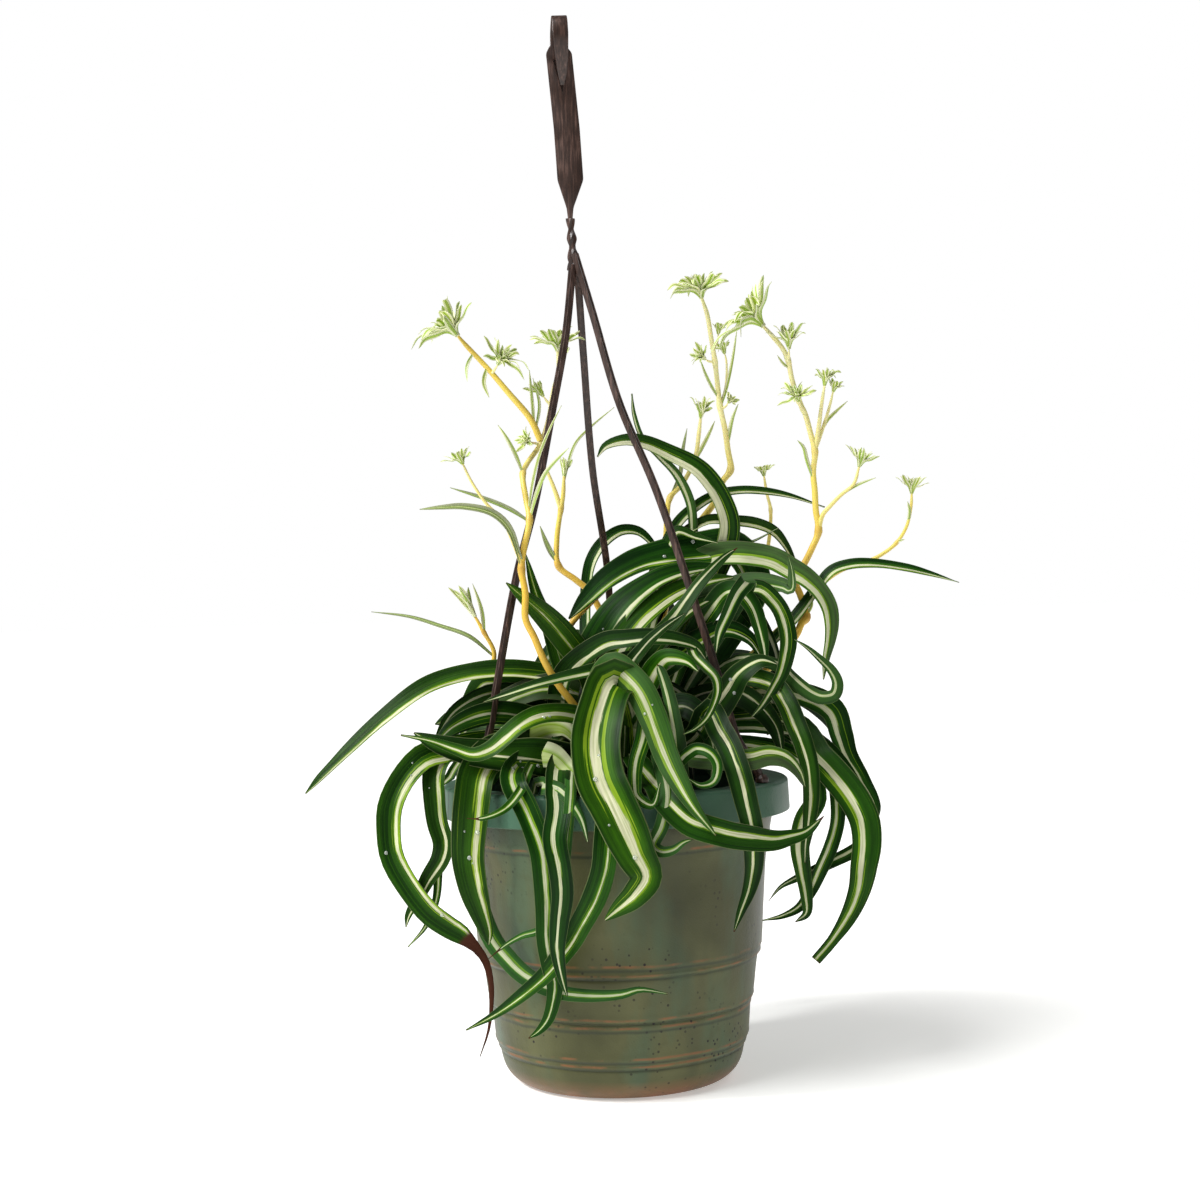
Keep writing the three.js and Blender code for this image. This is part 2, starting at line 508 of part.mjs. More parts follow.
// The leaves that shape the plant, each with its width, its turn and its points from foot to tip
const leaves = [
  // front, over the rim and down the pot
  { width: 17, turn: 0, path: [[-8, -25, 170], [-14, -45, 205], [-10, -62, 235], [0, -72, 247.5],
    [9, -80, 241], [17, -88, 231], [24, -96, 214], [31, -104, 193], [38, -112, 177], [46, -118, 162],
    [60, -122, 143]] },
  { width: 22, turn: 0, path: [[8, -25, 168], [14, -45, 200], [10, -62, 228], [0, -78, 238],
    [-8, -92, 222], [-12, -102, 200], [-10, -110, 180], [-3, -116, 164], [4, -120, 148], [11, -122, 132],
    [17, -122, 119], [10, -122, 108], [0, -118, 100], [-9, -114, 93]] },
  { width: 11, turn: 10, path: [[38, -70, 170], [38, -80, 186], [37, -88, 205], [34, -92, 226],
    [29, -94, 244], [27, -94, 248]] },
  { width: 6, turn: 20, path: [[45, -45, 262], [50, -60, 252], [56, -66, 246], [62.5, -72, 238.5],
    [63.5, -76, 231], [61, -80, 223], [56, -84, 214], [49, -88, 208], [42, -90, 205]] },
  { width: 12, turn: 10, path: [[20, -60, 235], [26, -66, 246], [33, -72, 252], [45, -76, 250],
    [52, -78, 243]] },
  { width: 7, turn: 10, path: [[36, -84, 186], [44, -92, 193], [50, -96, 196], [58, -100, 193],
    [62, -102, 185.5], [59.4, -104, 176], [51.6, -106, 173.7], [43.6, -106, 178.4]] },
  { width: 9, turn: 10, path: [[17, -96, 203.5], [12, -100, 188.7], [11, -104, 175.7], [12.5, -107, 168],
    [22, -108, 162.5], [27, -108, 176]] },
  { width: 8, turn: 10, path: [[29.5, -98, 180], [31, -106, 166], [27, -111, 149], [22, -113, 138],
    [27, -116, 134], [34, -116, 135], [40, -115, 139], [46, -114, 141]] },
  { width: 15.5, turn: 15, path: [[20, -90, 178], [32, -106, 163], [45, -112, 151], [65, -114, 144],
    [80, -108, 141], [95, -98, 139], [105, -92, 140.5], [115, -88, 143.5], [126, -84, 153]] },
  { width: 14, turn: 0, path: [[50, -55, 205], [58, -70, 219], [64, -78, 207], [70, -86, 196],
    [76, -94, 179], [80, -98, 161], [83, -98, 145], [83, -96, 131], [82, -94, 120], [79, -94, 108],
    [74, -96, 96], [69.5, -98, 84]] },
  // right side
  { width: 12, turn: 10, path: [[95, -30, 235], [105, -45, 222], [110, -52, 209], [114.5, -58, 197],
    [118, -62, 182], [118.5, -64, 167], [117, -66, 151], [114.5, -66, 135], [113.8, -66, 125]] },
  { width: 18, turn: 10, tip: 3.5, path: [[112, -20, 205], [122, -34, 190], [131, -40, 180.5],
    [142, -46, 166], [149.5, -50, 150.5], [151, -52, 136], [149, -54, 122], [146.5, -54, 107.5],
    [140, -54, 92.5], [129.5, -54, 77.5], [118.6, -54, 65.5]] },
  { width: 14, turn: 15, path: [[118, -6, 226], [133, -10, 217], [138, -12, 203], [142, -14, 190],
    [150, -16, 175], [158, -18, 158], [157, -18, 147]] },
  { width: 12, turn: 10, path: [[122, -40, 165], [114, -42, 150], [111, -42, 135], [112, -42, 120],
    [114, -42, 105], [114, -42, 94], [107, -42, 89]] },
  { width: 9, turn: 10, path: [[132, -30, 180], [134, -32, 168], [134, -34, 150], [129, -36, 133],
    [122, -38, 118], [117, -38, 108], [110, -38, 98], [100, -38, 93], [87, -40, 90.5]] },
  { width: 8, turn: 10, path: [[128, -22, 196], [146, -26, 170], [153, -28, 150], [150, -30, 136],
    [143, -32, 131], [131.5, -34, 125.5], [119, -36, 120], [107, -38, 115], [98.5, -40, 110.4],
    [91, -42, 102]] },
  { width: 12, turn: 20, path: [[81, -86, 188], [94, -84, 190.6], [104, -82, 188], [111, -80, 180.6],
    [115, -78, 171]] },
  { width: 16, turn: 30, path: [[40, -2, 300], [60, -2, 312], [74, -4, 314], [87, -6, 313],
    [100, -8, 310], [110, -11, 304], [119, -14, 298], [127, -17, 289.5], [132, -19, 280],
    [133.5, -21, 270], [132.5, -23, 260], [130, -25, 249], [128, -26, 236]] },
  { width: 12, turn: 20, path: [[45, -15, 275], [56, -15, 289], [70, -18, 294], [82, -20, 297],
    [95, -22, 296.5], [105, -24, 294], [109, -27, 292], [110, -28, 300], [108.5, -28, 312]] },
  { width: 13, turn: 15, path: [[60, -20, 280], [70, -24, 291], [78, -28, 291], [86, -32, 281.5],
    [90, -35, 269], [92.5, -37, 256], [93, -38, 246]] },
  { width: 11, turn: 20, path: [[78, -18, 290], [90, -22, 292], [99, -26, 284.5], [104, -30, 276],
    [107, -33, 262], [106, -36, 252], [103, -38, 241], [97.5, -40, 231], [90.5, -42, 221],
    [84, -44, 214.5]] },
  { width: 10, turn: 10, path: [[82, -40, 296], [77, -46, 290], [70.5, -50, 277], [65, -52, 264.5],
    [63, -54, 254]] },
  { width: 16, turn: 20, path: [[58, -52, 214], [70, -56, 230], [78, -60, 241], [90, -62, 248],
    [100, -62, 246]] },
  { width: 8.5, turn: 10, path: [[100, -30, 246], [108.5, -34, 238], [113.6, -36, 233],
    [120.4, -38, 227.7], [127.3, -40, 225], [134.4, -41, 226.7], [136.3, -42, 233.6], [133, -42, 241.5],
    [126.5, -42, 248.5], [119, -42, 255.5], [111, -42, 261]] },
  { width: 8, turn: 35, path: [[110, 2, 272], [126, 0, 292], [135, -1, 302], [146, -2, 305.5],
    [160, -3, 305.7], [181, -5, 302.5], [194, -6, 299], [212, -8, 293]] },
  // dome of broad leaves behind the right arm
  { width: 20, turn: 25, path: [[74, 4, 317.5], [55, 0, 317], [35, -6, 315], [18, -12, 311],
    [0, -18, 302], [-14, -22, 290], [-26, -24, 277]] },
  { width: 18, turn: 20, path: [[-16, -22, 244], [-8, -30, 264], [6, -30, 284], [26, -26, 299],
    [48, -20, 306], [68, -14, 307]] },
  { width: 17, turn: 20, path: [[-4, -26, 240], [4, -38, 258], [18, -36, 276], [38, -30, 291],
    [58, -24, 298], [76, -18, 300]] },
  { width: 15, turn: 15, path: [[10, -30, 238], [20, -42, 254], [34, -38, 270], [52, -30, 283],
    [68, -24, 290]] },
  { width: 16, turn: 20, path: [[22, -20, 240], [36, -36, 250], [54, -26, 262], [70, -22, 268],
    [84, -22, 262], [92, -24, 248]] },
  { width: 10, turn: 10, path: [[-32, -30, 238], [-27, -34, 247], [-5, -46, 262], [8, -52, 264],
    [25, -56, 265], [40, -56, 263], [52, -54, 258], [57, -54, 250]] },
  { width: 9, turn: 10, path: [[20, -44, 255], [38.4, -50, 275], [45.5, -51, 284.4], [52.8, -50, 294.5],
    [60.8, -48, 303.5], [69.6, -44, 312], [77.6, -40, 317.5]] },
  { width: 9, turn: 10, path: [[5, -52, 235], [11, -62, 249], [16.4, -64, 256], [24.4, -66, 264.5],
    [34, -66, 272], [44.5, -64, 278.4]] },
  { width: 8, turn: 15, path: [[12, -44, 252], [-5, -50, 247], [-22.8, -54, 243.4], [-44.5, -57, 238.6],
    [-63.6, -58, 233], [-79, -59, 228]] },
  // left side
  { width: 13, turn: 35, path: [[-5, -15, 215], [-30, -20, 240], [-48, -21, 245], [-79, -22, 246],
    [-100, -24, 242.5], [-120, -28, 234], [-140, -32, 220], [-159.5, -36, 203], [-179.5, -40, 185],
    [-189, -40, 175]] },
  { width: 12, turn: 15, path: [[-40, -26, 200], [-80, -34, 203], [-100, -42, 199], [-116, -50, 195.5],
    [-129, -54, 183], [-137, -58, 167], [-138.5, -60, 151.5], [-137, -62, 135.7], [-128, -64, 117.5],
    [-116, -66, 101], [-105, -66, 92.5], [-95, -66, 86], [-83.3, -64, 72.6], [-79.5, -62, 59],
    [-79.3, -60, 43], [-81.5, -58, 27.5], [-87, -56, 12]] },
  { width: 11, turn: 20, path: [[-12, -50, 212], [-28, -66, 219], [-45, -78, 219], [-57, -84, 214],
    [-67, -86, 206], [-76, -86, 199], [-86, -86, 196], [-97, -84, 199.5], [-112, -82, 205],
    [-130, -80, 209]] },
  { width: 20, turn: 10, path: [[-20, -50, 186], [-35, -62, 190], [-50, -70, 191], [-65, -74, 192],
    [-80, -76, 194], [-95, -76, 197], [-110, -74, 202], [-122, -72, 208]] },
  { width: 12, turn: 10, path: [[-95, -36, 200], [-105, -44, 195], [-110, -50, 185], [-110.5, -54, 169.5],
    [-109, -56, 155], [-106, -58, 142.5], [-108, -58, 133], [-116, -58, 121], [-122, -58, 110],
    [-128.5, -58, 99], [-130, -58, 92]] },
  { width: 6, turn: 10, path: [[-96, -30, 190], [-108, -34, 160], [-109, -36, 130], [-111, -38, 108],
    [-118, -40, 92], [-129, -42, 80]] },
  { width: 19, turn: 0, path: [[-60, -60, 200], [-76, -70, 196], [-84.5, -78, 185.5], [-88, -84, 168.6],
    [-90, -86, 150.5], [-91.3, -86, 132], [-89, -86, 116.5], [-84.5, -84, 101.5], [-80.6, -82, 88],
    [-80, -80, 80]] },
  { width: 11, turn: 0, path: [[-66, -62, 192], [-82, -74, 176], [-88, -76, 150], [-88, -70, 120],
    [-84, -70, 100], [-77, -74, 82], [-69.5, -78, 72], [-60, -83, 62], [-48, -89, 54.3], [-36, -93, 49.7],
    [-19, -97, 47.4], [0, -99, 47.7], [11.4, -99, 50.3], [28.3, -97, 47.4]] },
  { width: 14, turn: 0, path: [[-50, -60, 195], [-62, -80, 186], [-62, -94, 176], [-56, -99, 164],
    [-50.5, -103, 150.5], [-46, -105, 136], [-44, -105, 119], [-43.5, -103, 100.7], [-44, -101, 82.5],
    [-42, -98, 66], [-40, -95, 54], [-44.5, -93, 35], [-50.5, -91, 27], [-57, -89, 22.5]] },
  { width: 13, turn: 0, path: [[-34, -70, 190], [-36, -94, 178], [-36, -108, 160], [-38.6, -114, 143],
    [-36, -116, 126], [-34.5, -114, 109], [-36.5, -112, 92], [-37.8, -110, 75], [-35.6, -108, 59],
    [-33, -107, 47.5]] },
  { width: 13, turn: 0, path: [[-2, -78, 184], [-3, -97, 179], [-4.5, -109, 160], [-6.5, -113, 140],
    [-8.7, -114, 123], [-15, -112, 106], [-24, -108, 90.5], [-30.5, -104, 79.6], [-38, -101, 70],
    [-46, -98, 61], [-56, -94, 52.5], [-68, -86, 43.5], [-80, -78, 36], [-95, -72, 28.5]] },
  { width: 7, turn: 0, path: [[-26, -84, 186], [-28, -108, 168], [-30, -110, 150], [-33, -106, 125],
    [-36, -102, 108], [-47.5, -99, 89], [-59.6, -94, 85], [-69, -90, 80], [-80.3, -84, 71.5]] },
  { width: 6, turn: 10, path: [[-50, -70, 190], [-58, -98, 173], [-65, -103, 164.5], [-72, -107, 160],
    [-82, -108, 157], [-91, -106, 157.3]] },
  { width: 9, turn: 0, path: [[-48, -70, 176], [-42.6, -90, 176.5], [-34, -102, 173], [-27, -108, 165],
    [-21, -112, 154], [-18, -114, 141]] },
  { width: 13, turn: 0, path: [[-50, -60, 196], [-38, -74, 194], [-30, -84, 186], [-22, -94, 178],
    [-14, -104, 165]] },
  { width: 12, turn: 20, path: [[-62, -50, 204], [-55, -56, 207], [-40, -60, 212], [-30, -62, 210],
    [-22, -60, 200]] },
  { width: 13, turn: 10, path: [[-23.5, -20, 227.6], [-32, -22, 253], [-38, -22, 273], [-45.5, -18, 293],
    [-51.3, -14, 317]] },
  { width: 17, turn: 10, path: [[-14, -28, 242.6], [-26, -32, 262.4], [-36.5, -36, 275.7],
    [-49.3, -39, 288], [-63.5, -41, 300]] },
  { width: 10, turn: 15, path: [[-56, -8, 236], [-79, -11, 239.5], [-89, -12, 226], [-102, -14, 218],
    [-109, -14, 215]] },
  { width: 12, turn: 15, path: [[-20, -22, 232], [-41, -26, 236], [-64, -26, 229], [-84, -24, 219],
    [-102, -24, 214]] },
  // tall arches behind the arms
  { width: 12, turn: 20, path: [[66, 4, 306], [70, 3, 316], [73, 2, 332], [69.4, 2, 345.6],
    [62.6, 2, 358], [53.8, 2, 367.6], [35.5, 3, 377.5], [22, 4, 383.4], [11, 5, 385], [-1, 5, 381.5],
    [-6, 5, 375]] },
  { width: 6, turn: 15, path: [[51, 6, 328], [49.6, 5, 346], [42, 5, 363], [31.3, 6, 375], [22, 7, 385],
    [17, 7, 400], [16, 7, 413]] },
  { width: 7, turn: 20, path: [[40.5, 12, 331], [51.6, 13, 342], [65.5, 14, 350], [80.4, 15, 352.6],
    [95.3, 17, 351.6], [111.5, 18, 348], [131.5, 20, 341]] },
  { width: 7, turn: 20, path: [[58, 10, 334], [75.8, 12, 334], [89.3, 13, 332], [100.2, 15, 327],
    [106.6, 17, 319], [111.8, 19, 308], [114, 20, 298]] },
  { width: 3, turn: 20, path: [[66, 8, 312], [76.8, 8, 318], [89, 8, 322], [103, 8, 329]] },
  { width: 7, turn: 20, path: [[34, -2, 318], [41, -4, 329], [53, -6, 325], [66, -8, 321]] },
  { width: 8, turn: 20, path: [[-14, 75, 297], [-11, 75, 312], [-4, 76, 323], [7, 77, 330], [18, 77, 329],
    [27, 76, 320.5], [31.7, 75, 314]] },
];

// More leaves by a rule, mostly behind: each rises from the stock, arches over and hangs.
// A rank has its count, its first and last bearing, and the least and most of its reach, top and width.
// Where it has an end, its leaves hang down over the rim, to a height between the two given.
const fillRanks = [
  { count: 11, from: 14, to: 124, reach: [115, 180], top: [230, 300], width: [13, 19] },
  { count: 3, from: 126, to: 172, reach: [70, 98], top: [205, 245], width: [12, 17] },
  { count: 6, from: 8, to: 124, reach: [75, 112], top: [235, 300], width: [11, 16] },
  { count: 7, from: 46, to: 134, reach: [114, 132], top: [215, 250], width: [13, 18], end: [60, 140] },
  { count: 4, from: 196, to: 344, reach: [66, 84], top: [205, 236], width: [14, 18] },
];

function fillPath(draw, rank, place) {
  const pick = ([low, high]) => low + (high - low) * draw();
  const bearing = rank.from + ((rank.to - rank.from) * (place + 0.15 + 0.7 * draw())) / rank.count;
  const angle = THREE.MathUtils.degToRad(bearing);
  const reach = pick(rank.reach);
  const top = pick(rank.top);
  const droop = pick([40, 120]) * (reach / 150);
  const swing = (draw() - 0.5) * 0.9;
  // distance out, height, and how much of the swing has come in by then
  const marks = [
    [16, 182, 0], [0.3 * reach, top - 18, 0.1], [0.55 * reach, top, 0.25], [0.8 * reach, top - 12, 0.5],
  ];
  if (rank.end) {
    marks.push([reach * 0.97, 205, 0.7], [reach * 1.02, 165, 0.8], [reach * 1.01, pick(rank.end), 1]);
  } else {
    marks.push([reach, Math.max(top - droop * 0.6, 190), 0.8], [reach * 1.04, Math.max(top - droop, 184), 1]);
  }
  return marks.map(([out, height, drift]) => new THREE.Vector3(
    out * Math.cos(angle + swing * drift),
    out * Math.sin(angle + swing * drift),
    height,
  ));
}

const routeClear = (route, half) => obstacles.every(({ line, radius }) => {
  for (let step = 0; step < line.length - 1; step += 1) {
    for (let part = 0; part < 1; part += 0.1) {
      const at = line[step].clone().lerp(line[step + 1], part);
      const low = at.z < 225 && Math.hypot(at.x, at.y) < 45;
      if (!low && route.some((point) => point.distanceTo(at) < radius + half + 1)) {
        return false;
      }
    }
  }
  return true;
});

function fillLeaves() {
  const draw = drawsFrom(139);
  const made = [];
  for (const rank of fillRanks) {
    for (let place = 0; place < rank.count; place += 1) {
      let route = null;
      let width = 0;
      for (let attempt = 0; attempt < 30; attempt += 1) {
        width = rank.width[0] + (rank.width[1] - rank.width[0]) * draw();
        route = fillPath(draw, rank, place);
        if (routeClear(denser(route), width / 2)) {
          made.push({ route, width, turn: 15 + 40 * draw() });
          break;
        }
      }
    }
  }
  return made;
}

// ---- stalks and their plantlets ----

// A stem is a list of seen points, and a fourth number marks a joint, which is a little thicker.
// A tuft stands on the end of the stem it is listed under.
const stalks = [
  { name: "stalk_1",
    stems: [
      { rooted: true, radius: 2.5, path: [[-22, -40, 221.5], [-33.6, -44, 237.6], [-41, -46, 250.6],
        [-47.4, -47, 266.6], [-52.3, -47, 277.6], [-52, -47, 293.4], [-54, -45, 308, 1], [-52, -43, 321],
        [-48.3, -40, 338, 1], [-50, -34, 350], [-51.7, -24, 366, 1], [-49, -17, 372], [-40.4, -7, 384],
        [-35.2, -2, 398.5], [-32, 1, 415], [-28.3, 6, 428], [-28.5, 8, 440]],
        tuft: { name: "plantlet_1b", reach: 20, count: 9, open: 0.9, droop: 0.5 } },
      { radius: 2.4, path: [[-40.4, -7, 386], [-46, -7, 399], [-58.7, -8, 415], [-71.7, -8, 431],
        [-85, -8, 446], [-89, -8, 451]],
        tuft: { name: "plantlet_1a", reach: 24, count: 10, open: 0.85, droop: 0.8 } },
      { radius: 1.2, path: [[-69, -8, 427], [-67, -11, 430], [-65, -13, 433]],
        tuft: { name: "plantlet_1c", reach: 16, count: 7, open: 0.9, droop: 1.1 } },
      { radius: 1.1, path: [[-33.3, 0, 407], [-36, 2, 410], [-38, 3, 413]],
        tuft: { name: "plantlet_1d", reach: 10, count: 6, open: 0.6, droop: 0.2 } },
      { radius: 1, path: [[-42, -8, 384], [-45, -12, 384.6], [-47, -14, 385.5]],
        tuft: { name: "plantlet_1e", reach: 8, count: 5, open: 0.9, droop: 0.2 } },
      { radius: 1.4, path: [[-54, -45, 311], [-57, -46, 320], [-64.6, -46, 338], [-74, -45, 348],
        [-83, -44, 362], [-88, -43, 373]],
        tuft: { name: "plantlet_8", reach: 12, count: 6, open: 0.8, droop: 0.1 } },
    ],
    leaves: [
      { width: 7, turn: 20, path: [[-54, -45, 311], [-61, -50, 332.6], [-71, -53, 342.6],
        [-87.5, -56, 347], [-101, -58, 347], [-115, -58, 346]] },
      { width: 4.5, turn: 20, path: [[-49, -40, 337], [-60.5, -40, 344.7], [-76.5, -38, 352],
        [-96, -36, 358.7]] },
      { width: 4, turn: 10, path: [[-51.6, -24, 366], [-56, -25, 378], [-61, -26, 388],
        [-66, -26, 396]] },
      { width: 4, turn: 10, path: [[-48.3, -40, 338], [-44, -39, 352.5], [-38, -37, 366], [-30, -36, 375],
        [-23.4, -36, 381]] },
      { width: 3, turn: 10, path: [[-48.8, -39, 341], [-46, -34, 360], [-41, -29, 378], [-34, -26, 394],
        [-27, -25, 407]] },
      { width: 3.5, turn: 10, path: [[-44, -7, 395], [-45, -6, 412], [-46, -6, 429]] },
      { width: 3, turn: 10, path: [[-43, -7, 393], [-40.5, -3, 408], [-44, -1, 424]] },
      { width: 3.5, turn: 10, path: [[-80, -8, 440], [-84, -12, 432], [-84, -14, 423]] },
      { width: 4, turn: 10, path: [[-72, -8, 431], [-74, -12, 422], [-71, -14, 413]] },
    ] },
  { name: "stalk_2",
    stems: [
      { rooted: true, radius: 2.4, path: [[-13, 25, 293], [-21, 26, 300.5], [-31.4, 28, 309.4, 1],
        [-32, 30, 325], [-29, 31, 344, 1], [-27.5, 31, 352], [-26.6, 31, 364]],
      tuft: { name: "plantlet_2", reach: 11, count: 6, open: 0.4, droop: 0.1 } },
      { radius: 1.9, path: [[-29, 31, 344], [-33, 32, 357], [-37.5, 33, 369]] },
    ],
    leaves: [
      { width: 3.2, turn: 10, path: [[-27.2, 31, 358], [-24, 35, 371], [-18.8, 39, 384], [-8.8, 44, 394],
        [5, 47, 405]] },
      { width: 5, turn: 10, path: [[-31, 28, 310], [-36, 28, 318], [-39, 28, 325], [-42, 28, 334]] },
    ] },
  { name: "stalk_3",
    stems: [
      { rooted: true, radius: 2.3, path: [[-26, 2, 272], [2, 6, 300], [12, 8, 310], [23, 10, 317.6],
        [32.5, 12, 320, 1], [35.3, 14, 337], [37.4, 15, 349, 1], [43.7, 17, 355.6], [49.4, 18, 364],
        [54, 18, 375], [56, 18, 387], [57.4, 17, 397]],
        tuft: { name: "plantlet_3", reach: 13, count: 7, open: 0.62, droop: 0.4 } },
    ],
    leaves: [
      { width: 4.5, turn: 10, path: [[38, 15, 350], [44, 21, 363], [46, 22, 377], [49, 22, 391]] },
      { width: 4, turn: 10, path: [[50, 18, 366], [57, 22, 378], [62, 23, 387], [66, 23, 395]] },
    ] },
  { name: "stalk_4",
    stems: [
      { rooted: true, radius: 2.5, path: [[44, 24, 318], [48.5, 26, 327], [57, 28, 336], [65.4, 30, 347],
        [69.7, 31, 358], [74.7, 31, 365, 1], [73.5, 31, 377], [72, 31, 390], [69.3, 31, 404, 1],
        [68.4, 30, 415], [67, 29, 431, 1], [65, 28, 446], [63, 27, 460], [60, 26, 470]],
      tuft: { name: "plantlet_4", reach: 22, count: 9, open: 0.9, droop: 0.6 } },
      { radius: 1, path: [[66.6, 29, 431], [63, 26, 431.5], [61, 24, 433]],
        tuft: { name: "plantlet_4b", reach: 9, count: 5, open: 0.7, droop: 0.6 } },
      { radius: 1, path: [[66, 29, 438], [69, 31, 444], [69.5, 31, 448]],
        tuft: { name: "plantlet_4c", reach: 8, count: 5, open: 0.6, droop: 0.5 } },
      { radius: 1, path: [[69.3, 31, 404], [73, 33, 415], [74, 34, 431], [73, 34, 436]],
        tuft: { name: "plantlet_4d", reach: 8, count: 5, open: 0.7, droop: 0.4 } },
      { radius: 1, path: [[70, 31, 402], [73, 29, 404], [74.5, 28, 406]],
        tuft: { name: "plantlet_4e", reach: 7, count: 5, open: 0.9, droop: 0.1 } },
    ],
    leaves: [
      { width: 3.5, turn: 10, path: [[70, 31, 404], [74, 30, 417], [78, 29, 434], [81, 28, 451]] },
      { width: 4, turn: 10, path: [[73.4, 31, 380], [75, 30, 389], [77, 29, 397], [80.5, 28, 405]] },
      { width: 3, turn: 10, path: [[69, 31, 408], [64, 27, 417], [60.5, 26, 425], [58, 26, 433]] },
    ] },
  { name: "stalk_5",
    stems: [
      { rooted: true, radius: 2.6, path: [[112, 0, 263.5], [115.4, 2, 270.4], [118.5, 4, 274, 1],
        [117.4, 6, 281], [114.8, 7, 289], [112, 7, 297, 1], [118.5, 7, 307.5], [123, 6, 316],
        [127.3, 6, 326.4, 1], [126, 6, 339], [125.7, 6, 351], [125, 6, 362], [126.4, 6, 375, 1],
        [124, 6, 386], [121, 6, 398], [117, 6, 407, 1], [113.4, 6, 420], [111.4, 6, 431.5, 1],
        [108.4, 6, 438], [103, 6, 445], [97, 6, 452]],
      tuft: { name: "plantlet_5a", reach: 26, count: 11, open: 0.8, droop: 0.9 } },
      { radius: 1.8, path: [[126.4, 6, 375], [129, 5, 389], [131, 4, 402], [133.3, 4, 415]],
        tuft: { name: "plantlet_5e", reach: 12, count: 6, open: 0.6, droop: 0.9 } },
      { radius: 1.4, path: [[127, 6, 377], [132, 8, 390], [136, 9, 402], [138.4, 9, 411]],
        tuft: { name: "plantlet_5f", reach: 8, count: 5, open: 0.7, droop: 0.2 } },
      { radius: 1.7, path: [[127.3, 6, 326.4], [130, 4, 336], [134.4, 2, 341], [141.5, 1, 348],
        [149.5, 0, 354.5], [153, 0, 365]],
        tuft: { name: "plantlet_5g", reach: 12, count: 6, open: 0.7, droop: 0 } },
      { radius: 1.2, path: [[111.4, 6, 430], [112, 3, 434], [112.2, 2, 438]],
        tuft: { name: "plantlet_5b", reach: 18, count: 5, open: 0.75, droop: 0.4 } },
      { radius: 1.8, path: [[121, 6, 398], [118.6, 2, 402], [117.4, 0, 406]],
        tuft: { name: "plantlet_5c", reach: 13, count: 8, open: 0.9, droop: 0.5 } },
    ],
    leaves: [
      { width: 3.5, turn: 10, path: [[134, 2, 340], [143, 1, 349], [152, 0, 354], [163, 0, 358]] },
      { width: 3.5, turn: 10, path: [[128, 6, 380], [134, 12, 393], [140, 12, 399], [147, 12, 405]] },
      { width: 3, turn: 10, path: [[118.5, 4, 275], [122, 2, 282], [121, 0, 290]] },
      { width: 3, turn: 10, path: [[112.4, 6, 426], [108.5, 4, 429], [105, 3, 434]] },
      { width: 4, turn: 10, path: [[125, 5, 358], [121.5, 3, 370], [119.5, 2, 378], [116, 1, 382]] },
    ] },
  { name: "stalk_6",
    stems: [
      { rooted: true, radius: 1.7, path: [[104, 18, 270], [126, 15, 292], [140, 13, 302],
        [155, 11, 306.6], [165, 9, 311], [174.5, 8, 318, 1], [181, 8, 328], [184, 8, 340],
        [184.6, 8, 348]],
      tuft: { name: "plantlet_6", reach: 12, count: 6, open: 0.8, droop: 0.1 } },
    ],
    leaves: [
      { width: 3, turn: 10, path: [[181.5, 8, 329], [183, 6, 337], [182, 5, 343]] },
      { width: 3, turn: 10, path: [[173, 8, 316], [176, 7, 319], [179.5, 6, 320]] },
    ] },
  { name: "stalk_7",
    stems: [
      { rooted: true, radius: 2.1, path: [[-59, 0, 225], [-68, 0, 236], [-73, 0, 246, 1], [-72, 0, 258],
        [-77.7, 0, 270, 1], [-83, 0, 280]],
      tuft: { name: "plantlet_7", reach: 18, count: 7, open: 0.25, droop: 0 } },
    ],
    leaves: [
      { width: 4.5, turn: 25, path: [[-73, 0, 256], [-87, -3, 268], [-105, -4, 275], [-123, -5, 281],
        [-146, -6, 284.5]] },
      { width: 4, turn: 10, path: [[-77.5, 0, 270], [-79, -4, 284], [-84, -5, 300]] },
    ] },
  { name: "stalk_9",
    stems: [
      { rooted: true, radius: 1.5, path: [[88, 32, 290], [96, 34, 316], [98.5, 34, 340, 1],
        [96.5, 34, 350], [95, 34, 361]],
      tuft: { name: "plantlet_9", reach: 9, count: 6, open: 0.8, droop: 0.1 } },
    ],
    leaves: [] },
];

// A tube with five flat sides along its own points, with a swelling at each joint
function tube(route, joints, radius, grow) {
  const rings = [];
  const ring = (at, along, size) => {
    const sideways = new THREE.Vector3(0, 1, 0).cross(along).normalize();
    const other = new THREE.Vector3().crossVectors(along, sideways).normalize();
    const corners = [];
    for (let side = 0; side < 5; side += 1) {
      const angle = (side * 2 * Math.PI) / 5;
      corners.push(at.clone()
        .addScaledVector(sideways, Math.cos(angle) * size)
        .addScaledVector(other, Math.sin(angle) * size));
    }
    rings.push(corners);
  };
  route.forEach((at, step) => {
    const along = route[Math.min(step + 1, route.length - 1)].clone()
      .sub(route[Math.max(step - 1, 0)])
      .normalize();
    const size = radius * (1.1 - (0.25 * step) / route.length) + grow;
    ring(at, along, joints[step] ? size * 1.3 : size);
  });
  return skin(rings);
}

const stemRoute = (stem) => (stem.rooted ? rooted(stem.path) : stem.path.map(sight));

function stemJoints(stem) {
  const hidden = stemRoute(stem).length - stem.path.length;
  return [...Array(hidden).fill(0), ...stem.path.map((point) => point[3] || 0)];
}

function makeStalk(stalk, grow) {
  const tubes = stalk.stems.map((stem) => tube(stemRoute(stem), stemJoints(stem), stem.radius, grow));
  const blades = stalk.leaves.map((leaf) => blade(leaf.path.map(sight), { ...leaf, grow, slack: 3.2 }));
  return wasm.Manifold.union([...tubes, ...blades]);
}

